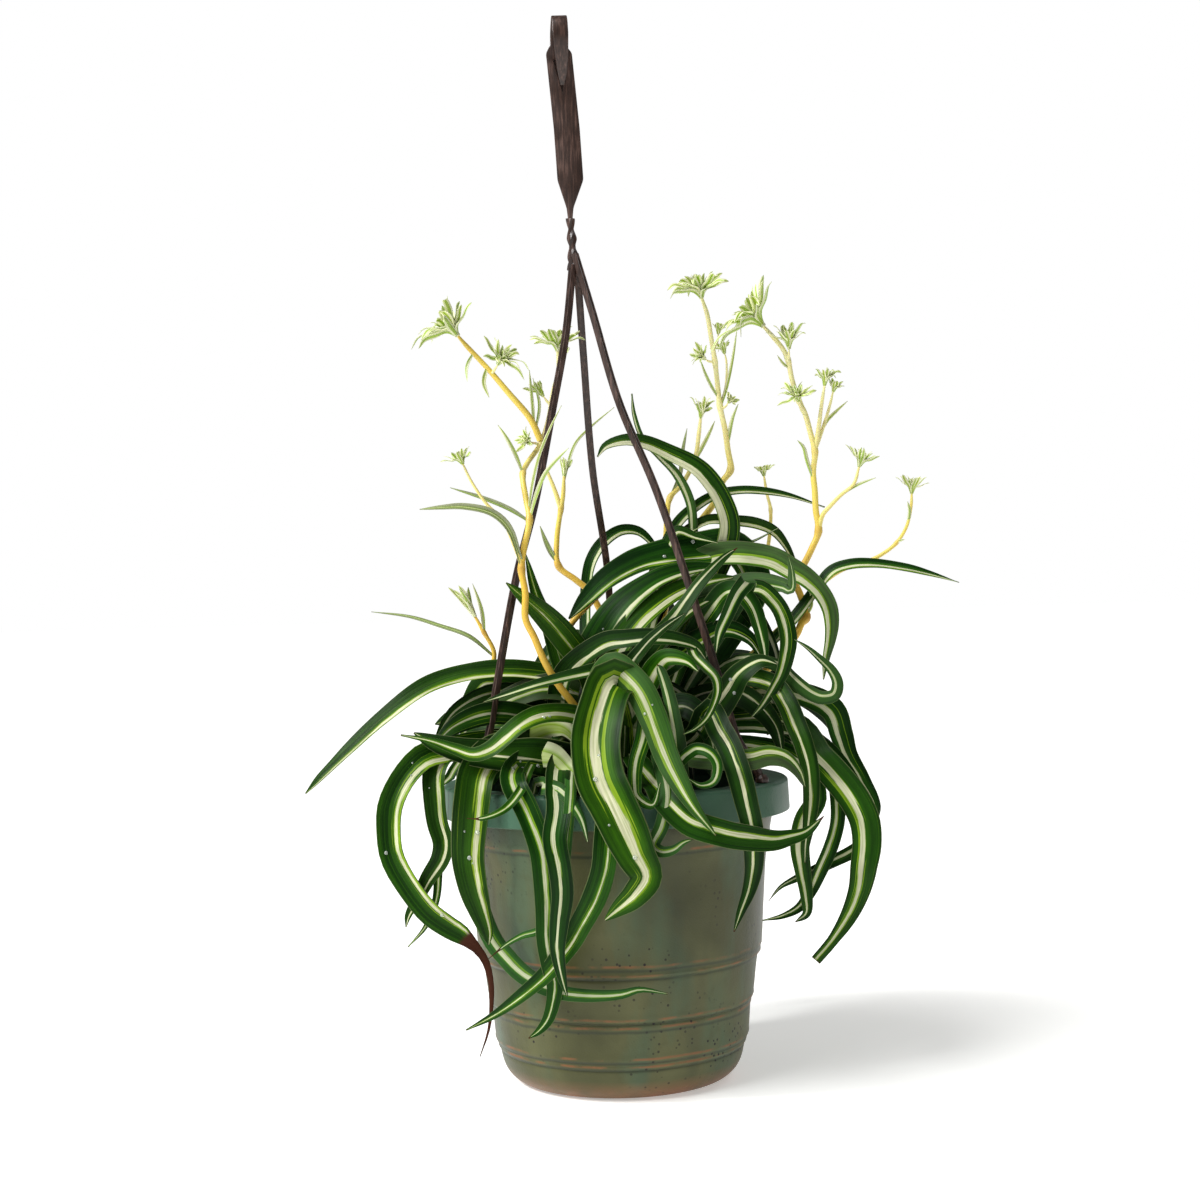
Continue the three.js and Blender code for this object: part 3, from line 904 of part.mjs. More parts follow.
// The frame of a plantlet: out and up from the end of its stem, with falls straight down
function tuftPlacer(stem) {
  const route = stemRoute(stem);
  const end = route[route.length - 1];
  const along = end.clone().sub(route[route.length - 2]).normalize();
  const side = new THREE.Vector3(0, 1, 0).cross(along).normalize();
  const other = new THREE.Vector3().crossVectors(along, side).normalize();
  return (out, angle, up, fall = 0) => end.clone()
    .addScaledVector(side, Math.cos(angle) * out)
    .addScaledVector(other, Math.sin(angle) * out)
    .addScaledVector(along, up)
    .add(new THREE.Vector3(0, 0, -fall));
}

// The middle line of each leaf of a plantlet, from its drawn length, spread and droop
function tuftLeaves(tuft, seed) {
  const draw = drawsFrom(seed);
  return Array.from({ length: tuft.count }, (unused, leaf) => {
    const length = tuft.reach * (0.75 + 0.35 * draw());
    const spread = tuft.open * (0.7 + 0.5 * draw()) * 1.45;
    const fall = length * tuft.droop * (0.5 + 0.7 * draw());
    const sway = 0.5 * (draw() - 0.5);
    return {
      angle: ((leaf + 0.5) * 2 * Math.PI) / tuft.count,
      out: length * Math.sin(spread),
      up: length * Math.cos(spread),
      fall,
      sway,
    };
  });
}

// One plantlet: short leaves drawn out of the sides of a small heart, seated on the end of its stem.
// open runs from 0, a closed bud, to 1, flat open, and droop bends the tips down.
function makeTuft(tuft, stem, seed, grow) {
  const place = tuftPlacer(stem);
  const sides = tuft.count;
  const wide = tuft.reach > 12;
  const heart = Math.max(1.5, tuft.reach * 0.13);
  const levels = [
    [stem.radius * 0.85 + grow, gap - grow],
    [heart + grow, gap + 0.1 * tuft.reach - grow],
    [heart + grow, gap + 0.1 * tuft.reach + 1.5 + grow],
    [heart * 0.6 + grow, gap + 0.26 * tuft.reach + grow],
  ];
  const points = [];
  const index = [];
  const add = (point) => points.push(point) - 1;
  const quad = (a, b, c, d) => index.push(a, b, c, a, c, d);
  const ringOf = ([out, up]) => Array.from({ length: sides }, (unused, corner) => (
    add(place(out, (corner * 2 * Math.PI) / sides, up))));
  const rings = levels.map(ringOf);
  tuftLeaves(tuft, seed).forEach(({ angle, out, up, fall, sway }, side) => {
    const next = (side + 1) % sides;
    const width = Math.max(2.4, tuft.reach * 0.2) / 2;
    const thick = 0.35 + grow;
    const base = levels[1][1] + 0.7;
    const marks = wide
      ? [[0.42, 0.5, 0.03, 1, 0.2], [0.8, 0.86, 0.4, 0.8, 0.6]]
      : [[0.55, 0.62, 0.12, 0.95, 0.3]];
    const across = place(1, angle + Math.PI / 2, 0).sub(place(0, 0, 0));
    let before = [rings[1][side], rings[1][next], rings[2][next], rings[2][side]];
    quad(rings[0][side], rings[0][next], rings[1][next], rings[1][side]);
    quad(rings[2][side], rings[2][next], rings[3][next], rings[3][side]);
    const uphill = place(1, angle, 0).sub(place(0, 0, 0)).z;
    const sink = Math.min(fall, out) * Math.max(0, 1 - 1.3 * Math.max(0, uphill));
    const tipAt = place(out + grow, angle + sway, base + up, sink);
    const lift = new THREE.Vector3().crossVectors(tipAt.clone().sub(place(heart, angle, base)), across)
      .normalize();
    marks.forEach(([far, high, low, share, turn]) => {
      const reach = Math.max(out * far, heart + 0.4);
      const half = Math.min(width * share, 0.75 * reach * Math.sin(Math.PI / sides)) + grow;
      const at = place(reach, angle + sway * turn, base + up * high, sink * low);
      const corner = (aside, rise) => add(at.clone()
        .addScaledVector(across, aside)
        .addScaledVector(lift, rise));
      const ring = [
        corner(-half, -thick), corner(half, -thick), corner(half, thick), corner(-half, thick),
      ];
      for (let edge = 0; edge < 4; edge += 1) {
        quad(before[edge], before[(edge + 1) % 4], ring[(edge + 1) % 4], ring[edge]);
      }
      before = ring;
    });
    const low = add(tipAt.clone().addScaledVector(lift, -thick));
    const high = add(tipAt.clone().addScaledVector(lift, thick));
    index.push(before[0], before[1], low, before[2], before[3], high);
    quad(before[1], before[2], high, low);
    quad(before[3], before[0], low, high);
  });
  for (let corner = 1; corner < sides - 1; corner += 1) {
    index.push(rings[0][0], rings[0][corner + 1], rings[0][corner]);
    index.push(rings[3][0], rings[3][corner], rings[3][corner + 1]);
  }
  return closed(points, index);
}

// ---- the whole ----

const potted = new THREE.Group();

function addPiece(name, solid, color, roughness) {
  const material = new THREE.MeshStandardMaterial({ color, roughness, metalness: 0 });
  const mesh = new THREE.Mesh(geometryOf(solid), material);
  mesh.name = name;
  potted.add(mesh);
}

const pot = makePot();
const hanger = makeHanger();
addPiece("pot", pot, 0x5b6650, 0.55);
addPiece("soil", makeSoil(), 0x2a211a, 0.95);
addPiece("hanger", hanger, 0x4a3733, 0.4);

const fatArms = wasm.Manifold.union(armBearings.map((bearing, arm) => makeArm(arm, gap)));
const stalkPieces = [];
const grownStalks = [];
stalks.forEach((stalk) => {
  let piece = makeStalk(stalk, 0).subtract(fatArms);
  grownStalks.forEach((earlier) => {
    piece = piece.subtract(earlier);
  });
  stalkPieces.push(largest(piece));
  grownStalks.push(makeStalk(stalk, gap));
  stalk.stems.forEach((stem) => {
    obstacles.push({ line: stemRoute(stem), radius: stem.radius });
  });
});
stalks.forEach((stalk, row) => addPiece(stalk.name, stalkPieces[row], 0xe0c060, 0.5));

const allStalks = wasm.Manifold.union(grownStalks);
const grownTufts = [];
let tuftSeed = 100;
stalks.forEach((stalk) => stalk.stems.filter((stem) => stem.tuft).forEach((stem) => {
  tuftSeed += 37;
  let piece = makeTuft(stem.tuft, stem, tuftSeed, 0).subtract(fatArms).subtract(allStalks);
  grownTufts.forEach((earlier) => {
    piece = piece.subtract(earlier);
  });
  addPiece(stem.tuft.name, largest(piece), 0x8fae45, 0.5);
  grownTufts.push(makeTuft(stem.tuft, stem, tuftSeed, gap));
}));

function makeRosette() {
  const stock = turned([
    [0, 140], [stockRadius, 140], [stockRadius, 166], [42, 182], [50, 202], [50, 224], [38, 244], [0, 255],
  ], 12);
  const shaped = leaves.map((leaf) => blade(clearRoute(rooted(leaf.path), leaf.width), leaf));
  const filled = fillLeaves().map(({ route, width, turn }) => blade(route, { width, turn, slack: 4 }));
  const whole = wasm.Manifold.union([stock, ...shaped, ...filled]);
  const fatTufts = wasm.Manifold.union(grownTufts);
  return largest(whole.subtract(allStalks).subtract(fatArms).subtract(fatTufts));
}

addPiece("rosette", makeRosette(), 0x3c7a2c, 0.45);

export default potted;
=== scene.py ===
import math

import bpy
import numpy as np
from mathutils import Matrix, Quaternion, Vector


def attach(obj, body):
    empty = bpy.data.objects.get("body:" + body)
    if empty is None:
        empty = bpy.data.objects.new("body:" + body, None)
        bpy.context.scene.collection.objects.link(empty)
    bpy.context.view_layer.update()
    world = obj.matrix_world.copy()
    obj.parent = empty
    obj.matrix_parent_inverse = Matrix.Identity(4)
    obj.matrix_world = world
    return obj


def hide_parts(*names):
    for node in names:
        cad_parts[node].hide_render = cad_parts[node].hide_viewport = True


# A curly spider plant in a round moulded pot with its hanger. Paths are in millimetres, meshes in metres.
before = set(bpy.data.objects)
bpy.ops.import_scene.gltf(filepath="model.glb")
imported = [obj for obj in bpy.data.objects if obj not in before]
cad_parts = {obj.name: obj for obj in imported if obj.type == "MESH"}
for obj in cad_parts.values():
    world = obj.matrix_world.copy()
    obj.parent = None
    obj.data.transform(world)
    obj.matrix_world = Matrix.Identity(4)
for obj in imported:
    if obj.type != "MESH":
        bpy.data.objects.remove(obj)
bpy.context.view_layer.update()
mm = 0.001
print("frame loaded:", len(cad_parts), "nodes")


def hexColour(code):
    parts = [int(code[at:at + 2], 16) / 255 for at in (1, 3, 5)]
    return (*[part / 12.92 if part <= 0.04045 else ((part + 0.055) / 1.055) ** 2.4 for part in parts], 1.0)


# Adds one node, sets or links whatever is named, and gives back the output asked for, or else the first one
# that is in use
def addNode(tree, kind, values=None, out=None):
    node = tree.nodes.new(kind)
    for name, value in (values or {}).items():
        if name == "stops":
            elements = node.color_ramp.elements
            while len(elements) < len(value):
                elements.new(0.5)
            for element, (place, colour) in zip(elements, value):
                element.position, element.color = place, hexColour(colour)
        elif isinstance(name, str) and hasattr(node, name):
            setattr(node, name, value)
        else:
            socket = node.inputs[name] if isinstance(name, int) else next(
                socket for socket in node.inputs if socket.name == name and socket.enabled)
            if isinstance(value, bpy.types.NodeSocket):
                tree.links.new(value, socket)
            else:
                isColour = isinstance(value, str) and value.startswith("#")
                socket.default_value = hexColour(value) if isColour else value
    if out is not None:
        return node.outputs[out]
    return next((socket for socket in node.outputs if socket.enabled), node)


def newMaterial(name):
    material = bpy.data.materials.new(name)
    material.use_nodes = True
    material.node_tree.nodes.clear()
    return material, material.node_tree


def newObject(name, vertices, faces, edges=()):
    mesh = bpy.data.meshes.new(name)
    mesh.from_pydata([tuple(v) for v in vertices], list(edges), faces)
    mesh.update()
    obj = bpy.data.objects.new(name, mesh)
    bpy.context.scene.collection.objects.link(obj)
    return obj


def setAttribute(mesh, name, kind, values):
    attribute = mesh.attributes.new(name, kind, "POINT")
    values = np.asarray(values, np.float32)
    attribute.data.foreach_set("vector" if kind == "FLOAT_VECTOR" else "value", values.ravel())


def signedVolume(mesh):
    mesh.calc_loop_triangles()
    corners = np.zeros(len(mesh.loop_triangles) * 3, int)
    mesh.loop_triangles.foreach_get("vertices", corners)
    places = np.zeros(len(mesh.vertices) * 3)
    mesh.vertices.foreach_get("co", places)
    a, b, c = (places.reshape(-1, 3)[corners.reshape(-1, 3)[:, k]] for k in range(3))
    return float(np.einsum("ij,ij->i", a, np.cross(b, c)).sum() / 6)


def faceOutwards(obj):
    if signedVolume(obj.data) < 0:
        obj.data.flip_normals()
    return obj


# Turns what the live modifiers make into the object's own plain mesh, with its faces outwards
def bakeMesh(obj):
    graph = bpy.context.evaluated_depsgraph_get()
    mesh = bpy.data.meshes.new_from_object(obj.evaluated_get(graph))
    obj.modifiers.clear()
    obj.data = mesh
    return faceOutwards(obj)


def addTree(obj, tree, values):
    modifier = obj.modifiers.new(tree.name, "NODES")
    modifier.node_group = tree
    for item in tree.interface.items_tree:
        if item.item_type == "SOCKET" and item.in_out == "INPUT" and item.name in values:
            modifier[item.identifier] = values[item.name]
    return obj


def newTree(name, inputs):
    tree = bpy.data.node_groups.new(name, "GeometryNodeTree")
    tree.interface.new_socket("Geometry", in_out="INPUT", socket_type="NodeSocketGeometry")
    for label, kind, value in inputs:
        socket = tree.interface.new_socket(label, in_out="INPUT", socket_type="NodeSocket" + kind)
        if value is not None:
            socket.default_value = value
    tree.interface.new_socket("Geometry", in_out="OUTPUT", socket_type="NodeSocketGeometry")
    return tree, addNode(tree, "NodeGroupInput").node.outputs


def endTree(tree, geometry, material):
    real = addNode(tree, "GeometryNodeRealizeInstances", {0: geometry})
    smooth = addNode(tree, "GeometryNodeSetShadeSmooth", {0: real})
    painted = addNode(tree, "GeometryNodeSetMaterial", {"Geometry": smooth, "Material": material})
    addNode(tree, "NodeGroupOutput", {0: painted})


def finishPiece(obj, slotName, *nodes):
    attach(obj, "root")
    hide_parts(*nodes)
    return obj


# A small seeded generator of even draws from 0 to 1
def drawsFrom(seed):
    state = seed

    def draw():
        nonlocal state
        state = (state * 9301 + 49297) % 233280
        return state / 233280
    return draw


def fade(value):
    value = np.clip(value, 0, 1)
    return value * value * (3 - 2 * value)


def unit(vector):
    return vector / max(np.linalg.norm(vector), 1e-12)


def between(limits, draw):
    return limits[0] + (limits[1] - limits[0]) * draw()


# A base and what one draw adds to it
def varied(pair, draw):
    return pair[0] + pair[1] * draw()


# The photo's camera: its place in millimetres, its lens, and its roll in degrees
view = {"eye": (-6.7, -1150.0, 288.0), "lens": 56.7, "roll": -1.5}
eye = np.array(view["eye"])


# Paths are read on the front elevation from the eye: x and z on the plane y = 0, with y as the real depth
def sight(point):
    stretch = (point[1] - eye[1]) / -eye[1]
    return np.array([eye[0] + (point[0] - eye[0]) * stretch, point[1], eye[2] + (point[2] - eye[2]) * stretch])


# A centripetal spline through the points: its places and directions at shares from 0 to 1
def spline(points, shares):
    points = np.asarray(points, float)
    ends = np.vstack([2 * points[0] - points[1], points, 2 * points[-1] - points[-2]])
    along = np.asarray(shares, float) * (len(points) - 1)
    span = np.minimum(along.astype(int), len(points) - 2)
    part = (along - span)[:, None]
    before, start, end, after = (ends[span + step] for step in range(4))
    first, gap, last = (np.sqrt(np.linalg.norm(b - a, axis=1))[:, None] + 1e-9
                        for a, b in ((before, start), (start, end), (end, after)))
    leave = ((start - before) / first - (end - before) / (first + gap) + (end - start) / gap) * gap
    arrive = ((end - start) / gap - (after - start) / (gap + last) + (after - end) / last) * gap
    square = -3 * start + 3 * end - 2 * leave - arrive
    cube = 2 * start - 2 * end + leave + arrive
    places = start + leave * part + square * part ** 2 + cube * part ** 3
    ways = leave + 2 * square * part + 3 * cube * part ** 2
    return places, ways / np.linalg.norm(ways, axis=1)[:, None]


potSize = {"radius": 105, "height": 179, "lipInner": 90, "collarDepth": 19, "wallTop": 157, "wall": 3,
           "soilTop": 160}
potOutline = [
    (58, 0), (64, 1.5), (69, 5.5), (72, 10.5), (75.2, 22), (76.4, 24), (79, 46), (80, 48), (83.6, 72),
    (85.6, 77), (88, 105), (90.4, 134), (94.6, potSize["wallTop"])]


def wallAt(height):
    radii, heights = zip(*potOutline)
    return float(np.interp(height, heights, radii)) if height <= potSize["wallTop"] else potSize["radius"]


# Room between a leaf and the pot, and the radii and heights from which a leaf counts as at its wall or lip
clearLook = {"spare": 2.0, "over": 0.2, "collarFrom": 154, "wallFrom": 82, "lipTo": 97, "lipFrom": 168}


# Moves a point that would lie in or on the pot's wall or lip out to where it hangs clear
def clearOfPot(point):
    radius, look = math.hypot(point[0], point[1]), clearLook
    wall = potSize["radius"] if point[2] > look["collarFrom"] else wallAt(max(point[2], 0))
    reach = wall + look["spare"]
    over = potSize["height"] + look["spare"] + look["over"]
    if point[2] < over and look["wallFrom"] < radius < reach:
        if radius < look["lipTo"] and point[2] > look["lipFrom"]:
            point[2] = over
        else:
            point[:2] *= reach / radius
    return point


# The hanger's arms: front left, front right and back, each from the neck down to its hole in the pot's lip
armBearings = [210, 330, 90]
armRoutes = [
    [(-18, -1.5, 492), (-23.3, -7, 450), (-32.7, -14, 404), (-45, -23, 347), (-57, -30, 304),
     (-71, -40, 236.5), (-76.5, -45, 208), (-83, -49, 190)],
    [(-16.6, -1.5, 499), (-6.7, -5, 463), (8, -14, 408), (28.5, -21.5, 356), (46, -30, 301),
     (66, -40, 233), (75, -45, 201), (83, -48.5, 188)],
    [(-15.4, 1.5, 494), (-12.8, 20, 436), (-9.2, 42, 368), (-1.5, 64, 302.6), (-0.8, 84, 235),
     (-0.5, 95, 200)]]
holeRing, armRadius = 98, 2.5
holePlaces = [(holeRing * math.cos(math.radians(b)), holeRing * math.sin(math.radians(b))) for b in armBearings]
armPaths = [np.array([sight(p) for p in route] + [(*holePlaces[arm], potSize["height"] + 1.2)])
            for arm, route in enumerate(armRoutes)]
obstacles = [(path, armRadius) for path in armPaths]


def samples(line, parts):
    return np.vstack([line[step] + (line[step + 1] - line[step]) * part
                      for step in range(len(line) - 1) for part in np.arange(parts) / parts])


# Samples on each span of an arm or stem, the room in depth, how far along a leaf a bend reaches, and the heart
# of the plant by its top and radius, where nothing has to be clear
bendLook = {"parts": 8, "room": 2, "flat": 0.6, "reach": 36, "full": 1.25, "heartTop": 225, "heart": 45}


# Bends a densely sampled route clear of arms and stems, forward or back, whichever side it is on
def bendClear(route, half):
    bent, look = route.copy(), bendLook
    for line, radius in obstacles:
        spots = samples(line, look["parts"])
        apart = np.hypot(bent[None, :, 0] - spots[:, None, 0], bent[None, :, 2] - spots[:, None, 2])
        spot, place = np.unravel_index(np.argmin(apart), apart.shape)
        behind = bent[place, 1] - spots[spot, 1]
        need = radius + look["room"] + half * look["flat"]
        free = bent[place, 2] < look["heartTop"] and math.hypot(*bent[place, :2]) < look["heart"]
        if apart[spot, place] < radius + half + 1 and abs(behind) < need and not free:
            shift = math.copysign(need - abs(behind), behind or 1)
            centre = bent[place].copy()
            bent[:, 1] += shift * fade(look["full"] - np.linalg.norm(bent - centre, axis=1) / look["reach"])
    return bent


def denser(route):
    count = (len(route) - 1) * 4
    return spline(route, np.arange(count + 1) / count)[0]


def clearRoute(route, width):
    return bendClear(denser(route), width / 2)[::4]


# Where leaves start in the crown, by radius and height. A leaf that is first seen nearer and lower than these
# limits needs no foot.
rootLook = {"ring": 16, "height": 182, "near": 30, "low": 222, "steep": 2, "steps": (0, 0.35, 0.7)}


# A leaf's hidden foot: out of the crown, straight up at first, then over to where the leaf is first seen
def rooted(path):
    seen = [sight(point) for point in path]
    first = seen[0]
    level = math.hypot(first[0], first[1])
    if level < rootLook["near"] and first[2] < rootLook["low"]:
        return np.array(seen)
    ring = rootLook["ring"]
    root = np.array([first[0] / level * ring, first[1] / level * ring, rootLook["height"]])
    span = np.linalg.norm(first - root)
    rise = unit(np.array([first[0] / level, first[1] / level, rootLook["steep"]])) * span
    leave = unit(seen[1] - first) * span
    foot = []
    for t in rootLook["steps"]:
        toRoot = 2 * t ** 3 - 3 * t ** 2 + 1
        foot.append(root * toRoot + rise * (t ** 3 - 2 * t ** 2 + t) + first * (1 - toRoot)
                    + leave * (t ** 3 - t ** 2))
    return np.array(foot + seen)


# A blade's outline: its foot's share of the width, where it is full, and how it tapers from there to the tip
bladeShape = {"foot": (0.62, 0.38), "fullAt": 0.3, "taperFrom": 0.42, "taperOver": 0.58, "taper": (1.8, 0.72),
              "swayTurns": 9.4, "viewGain": 3}


# Half of a blade's width at a share of its length: narrow at the root, fine at the tip
def halfWidth(width, share, tip):
    look = bladeShape
    rise = look["foot"][0] + look["foot"][1] * fade(share / look["fullAt"])
    late = max(0, (share - look["taperFrom"]) / look["taperOver"])
    fall = max(0, 1 - late ** look["taper"][0]) ** look["taper"][1]
    return max(tip, width / 2 * rise * fall)


# The sections of one blade along its route, as arrays. The face turns from the eye towards its upper side.
def bladeSections(route, width, turn, tip, count, clear=True, wave=0.0, phase=0.0):
    shares = np.arange(count + 1) / count
    places, ways = spline(route, shares)
    lean = -math.copysign(1, route[-1][0] - route[0][0]) if route[-1][0] != route[0][0] else 1
    before = None
    rows = []
    for share, place, way in zip(shares, places, ways):
        across = np.cross(way, unit(eye - place))
        clearness = min(1, float(across @ across) * bladeShape["viewGain"])
        across = unit(across)
        if before is not None:
            across = across * (-clearness if across @ before < 0 else clearness) + before * (1 - clearness)
            across = unit(across - way * (across @ way))
        before = across
        sway = wave * math.sin(share * bladeShape["swayTurns"] + phase)  # a slow twist, one and a half waves
        across = np.array(Quaternion(way, math.radians(lean * turn + sway)) @ Vector(across))
        half = halfWidth(width, share, tip)
        edges = [place + across * reach for reach in (-half, half)]
        if clear:
            edges = [clearOfPot(edge) for edge in edges]
        rows.append([*((edges[0] + edges[1]) / 2), *(edges[1] - edges[0]), *way])
    rows = np.array(rows)
    centre, across, way = rows[:, :3], rows[:, 3:6], rows[:, 6:]
    half = np.linalg.norm(across, axis=1) / 2
    across = across / (2 * half[:, None])
    face = np.cross(across, way)
    face = face / np.linalg.norm(face, axis=1)[:, None]
    top = int(np.argmax(centre[:, 2]))
    if face[top, 2] < 0:
        across, face = -across, -face
    metres = np.concatenate([[0], np.cumsum(np.linalg.norm(np.diff(centre, axis=0), axis=1))]) * mm
    return {"centre": centre, "across": across, "face": face, "half": half, "share": shares, "metres": metres}


# Rounds each inner corner of an outline with a short curve
def roundCorners(points, radius, steps=4):
    points = [np.array(point, float) for point in points]
    rounded = [points[0]]
    for before, corner, after in zip(points, points[1:], points[2:]):
        near = [corner + unit(other - corner) * min(radius, np.linalg.norm(other - corner) * 0.45)
                for other in (before, after)]
        for t in np.linspace(0, 1, steps + 1):
            rounded.append(near[0] * (1 - t) ** 2 + corner * 2 * t * (1 - t) + near[1] * t ** 2)
    return rounded + [points[-1]]


# Turns an outline of radius and height about the upright axis. It starts and ends on the axis.
def turnedSkin(name, outline, sides, middle=(0, 0)):
    angles = np.arange(sides) * 2 * math.pi / sides
    places, rings, faces = [], [], []
    for radius, height in outline:
        onAxis = radius < 1e-6
        rings.append((len(places), onAxis))
        for angle in (angles[:1] if onAxis else angles):
            places.append((middle[0] + radius * math.cos(angle), middle[1] + radius * math.sin(angle), height))
    for (low, lowPole), (high, highPole) in zip(rings, rings[1:]):
        for side in range(sides):
            after = (side + 1) % sides
            if lowPole:
                faces.append((low, high + after, high + side))
            elif highPole:
                faces.append((low + side, low + after, high))
            else:
                faces.append((low + side, low + after, high + after, high + side))
    return faceOutwards(newObject(name, np.array(places) * mm, faces))


def rodSkin(name, radius, low, high, middle):
    return turnedSkin(name, [(0, low), (radius, low), (radius, high), (0, high)], 32, middle)


# Cuts one closed skin out of another and removes the cutter
def cutOut(obj, cutter):
    cut = obj.modifiers.new("cut", "BOOLEAN")
    cut.operation, cut.object, cut.solver = "DIFFERENCE", cutter, "EXACT"
    bakeMesh(obj)
    bpy.data.objects.remove(cutter)


def softenEdges(obj, degrees=35):
    obj.data.shade_smooth()
    obj.data.set_sharp_from_angle(angle=math.radians(degrees))
    return obj


# The ridges stand at these heights, each with a groove a little under it
potLook = {
    "sides": 144, "steps": 130, "ridges": (80.5, 75.2, 49.0, 44.2, 26.0, 21.4, 146.0), "ridge": 0.55,
    "ridgeWidth": 0.9, "groove": 0.5, "grooveWidth": 0.8, "grooveDrop": 2.2, "inset": 0.2, "lipWall": 91.6,
    "drains": 4, "drainFrom": 45, "drainRing": 38, "drainRadius": 6, "pinRadius": 3}


# One moulding: foot, low ridges, collar with its skirt and lip, inner wall, drain holes and hanger holes
def makePot(size, look):
    shares = np.arange(look["steps"] + 1) / look["steps"]
    wall = spline([(radius, height, 0) for radius, height in potOutline], shares)[0]
    outer = []
    for radius, height in wall[:, :2]:
        swell = sum(look["ridge"] * math.exp(-((height - ridge) / look["ridgeWidth"]) ** 2) - look["groove"]
                    * math.exp(-((height - ridge + look["grooveDrop"]) / look["grooveWidth"]) ** 2)
                    for ridge in look["ridges"])
        outer.append((radius + swell - look["inset"], max(height, 0)))
    top, out, skirt = size["height"], size["radius"], size["height"] - size["collarDepth"]
    collar = roundCorners([
        outer[-1], (94.6, top - 2.5), (out - 2.5, top - 2.5), (out - 2.5, skirt), (out, skirt),
        (out - 0.8, top - 1.4), (out - 2.6, top), (size["lipInner"], top), (size["lipInner"], top - 2.5),
        (look["lipWall"], top - 6), (look["lipWall"], size["wallTop"])], 0.8)
    inner = [(look["lipWall"], size["wallTop"]), (87.4, 134), (82, 77), (72.8, 25), (67, 7), (60, size["wall"]),
             (0, size["wall"])]
    pot = turnedSkin("potMoulding", [(0, 0)] + outer[:-1] + collar[:-1] + roundCorners(inner, 3), look["sides"])
    for turn in range(look["drains"]):
        angle = math.radians(look["drainFrom"] + 360 / look["drains"] * turn)
        place = (look["drainRing"] * math.cos(angle), look["drainRing"] * math.sin(angle))
        cutOut(pot, rodSkin("drain", look["drainRadius"], -2, size["wall"] + 2, place))
    for place in holePlaces:
        cutOut(pot, rodSkin("pinHole", look["pinRadius"], top - 4, top + 2, place))
    return finishPiece(softenEdges(pot), "pot", "pot")


# Polypropylene moulded with an aged stoneware look: grey-green and satin, rubbed through to a clay colour
# on each ridge, with a darker line a little under it
potFinish = {
    "moss": "#454626", "sage": "#575836", "teal": "#446049", "collar": "#38604c", "clay": "#875330",
    "shade": "#262e20", "foot": "#84573b", "speck": "#17120e", "roughness": 0.42}


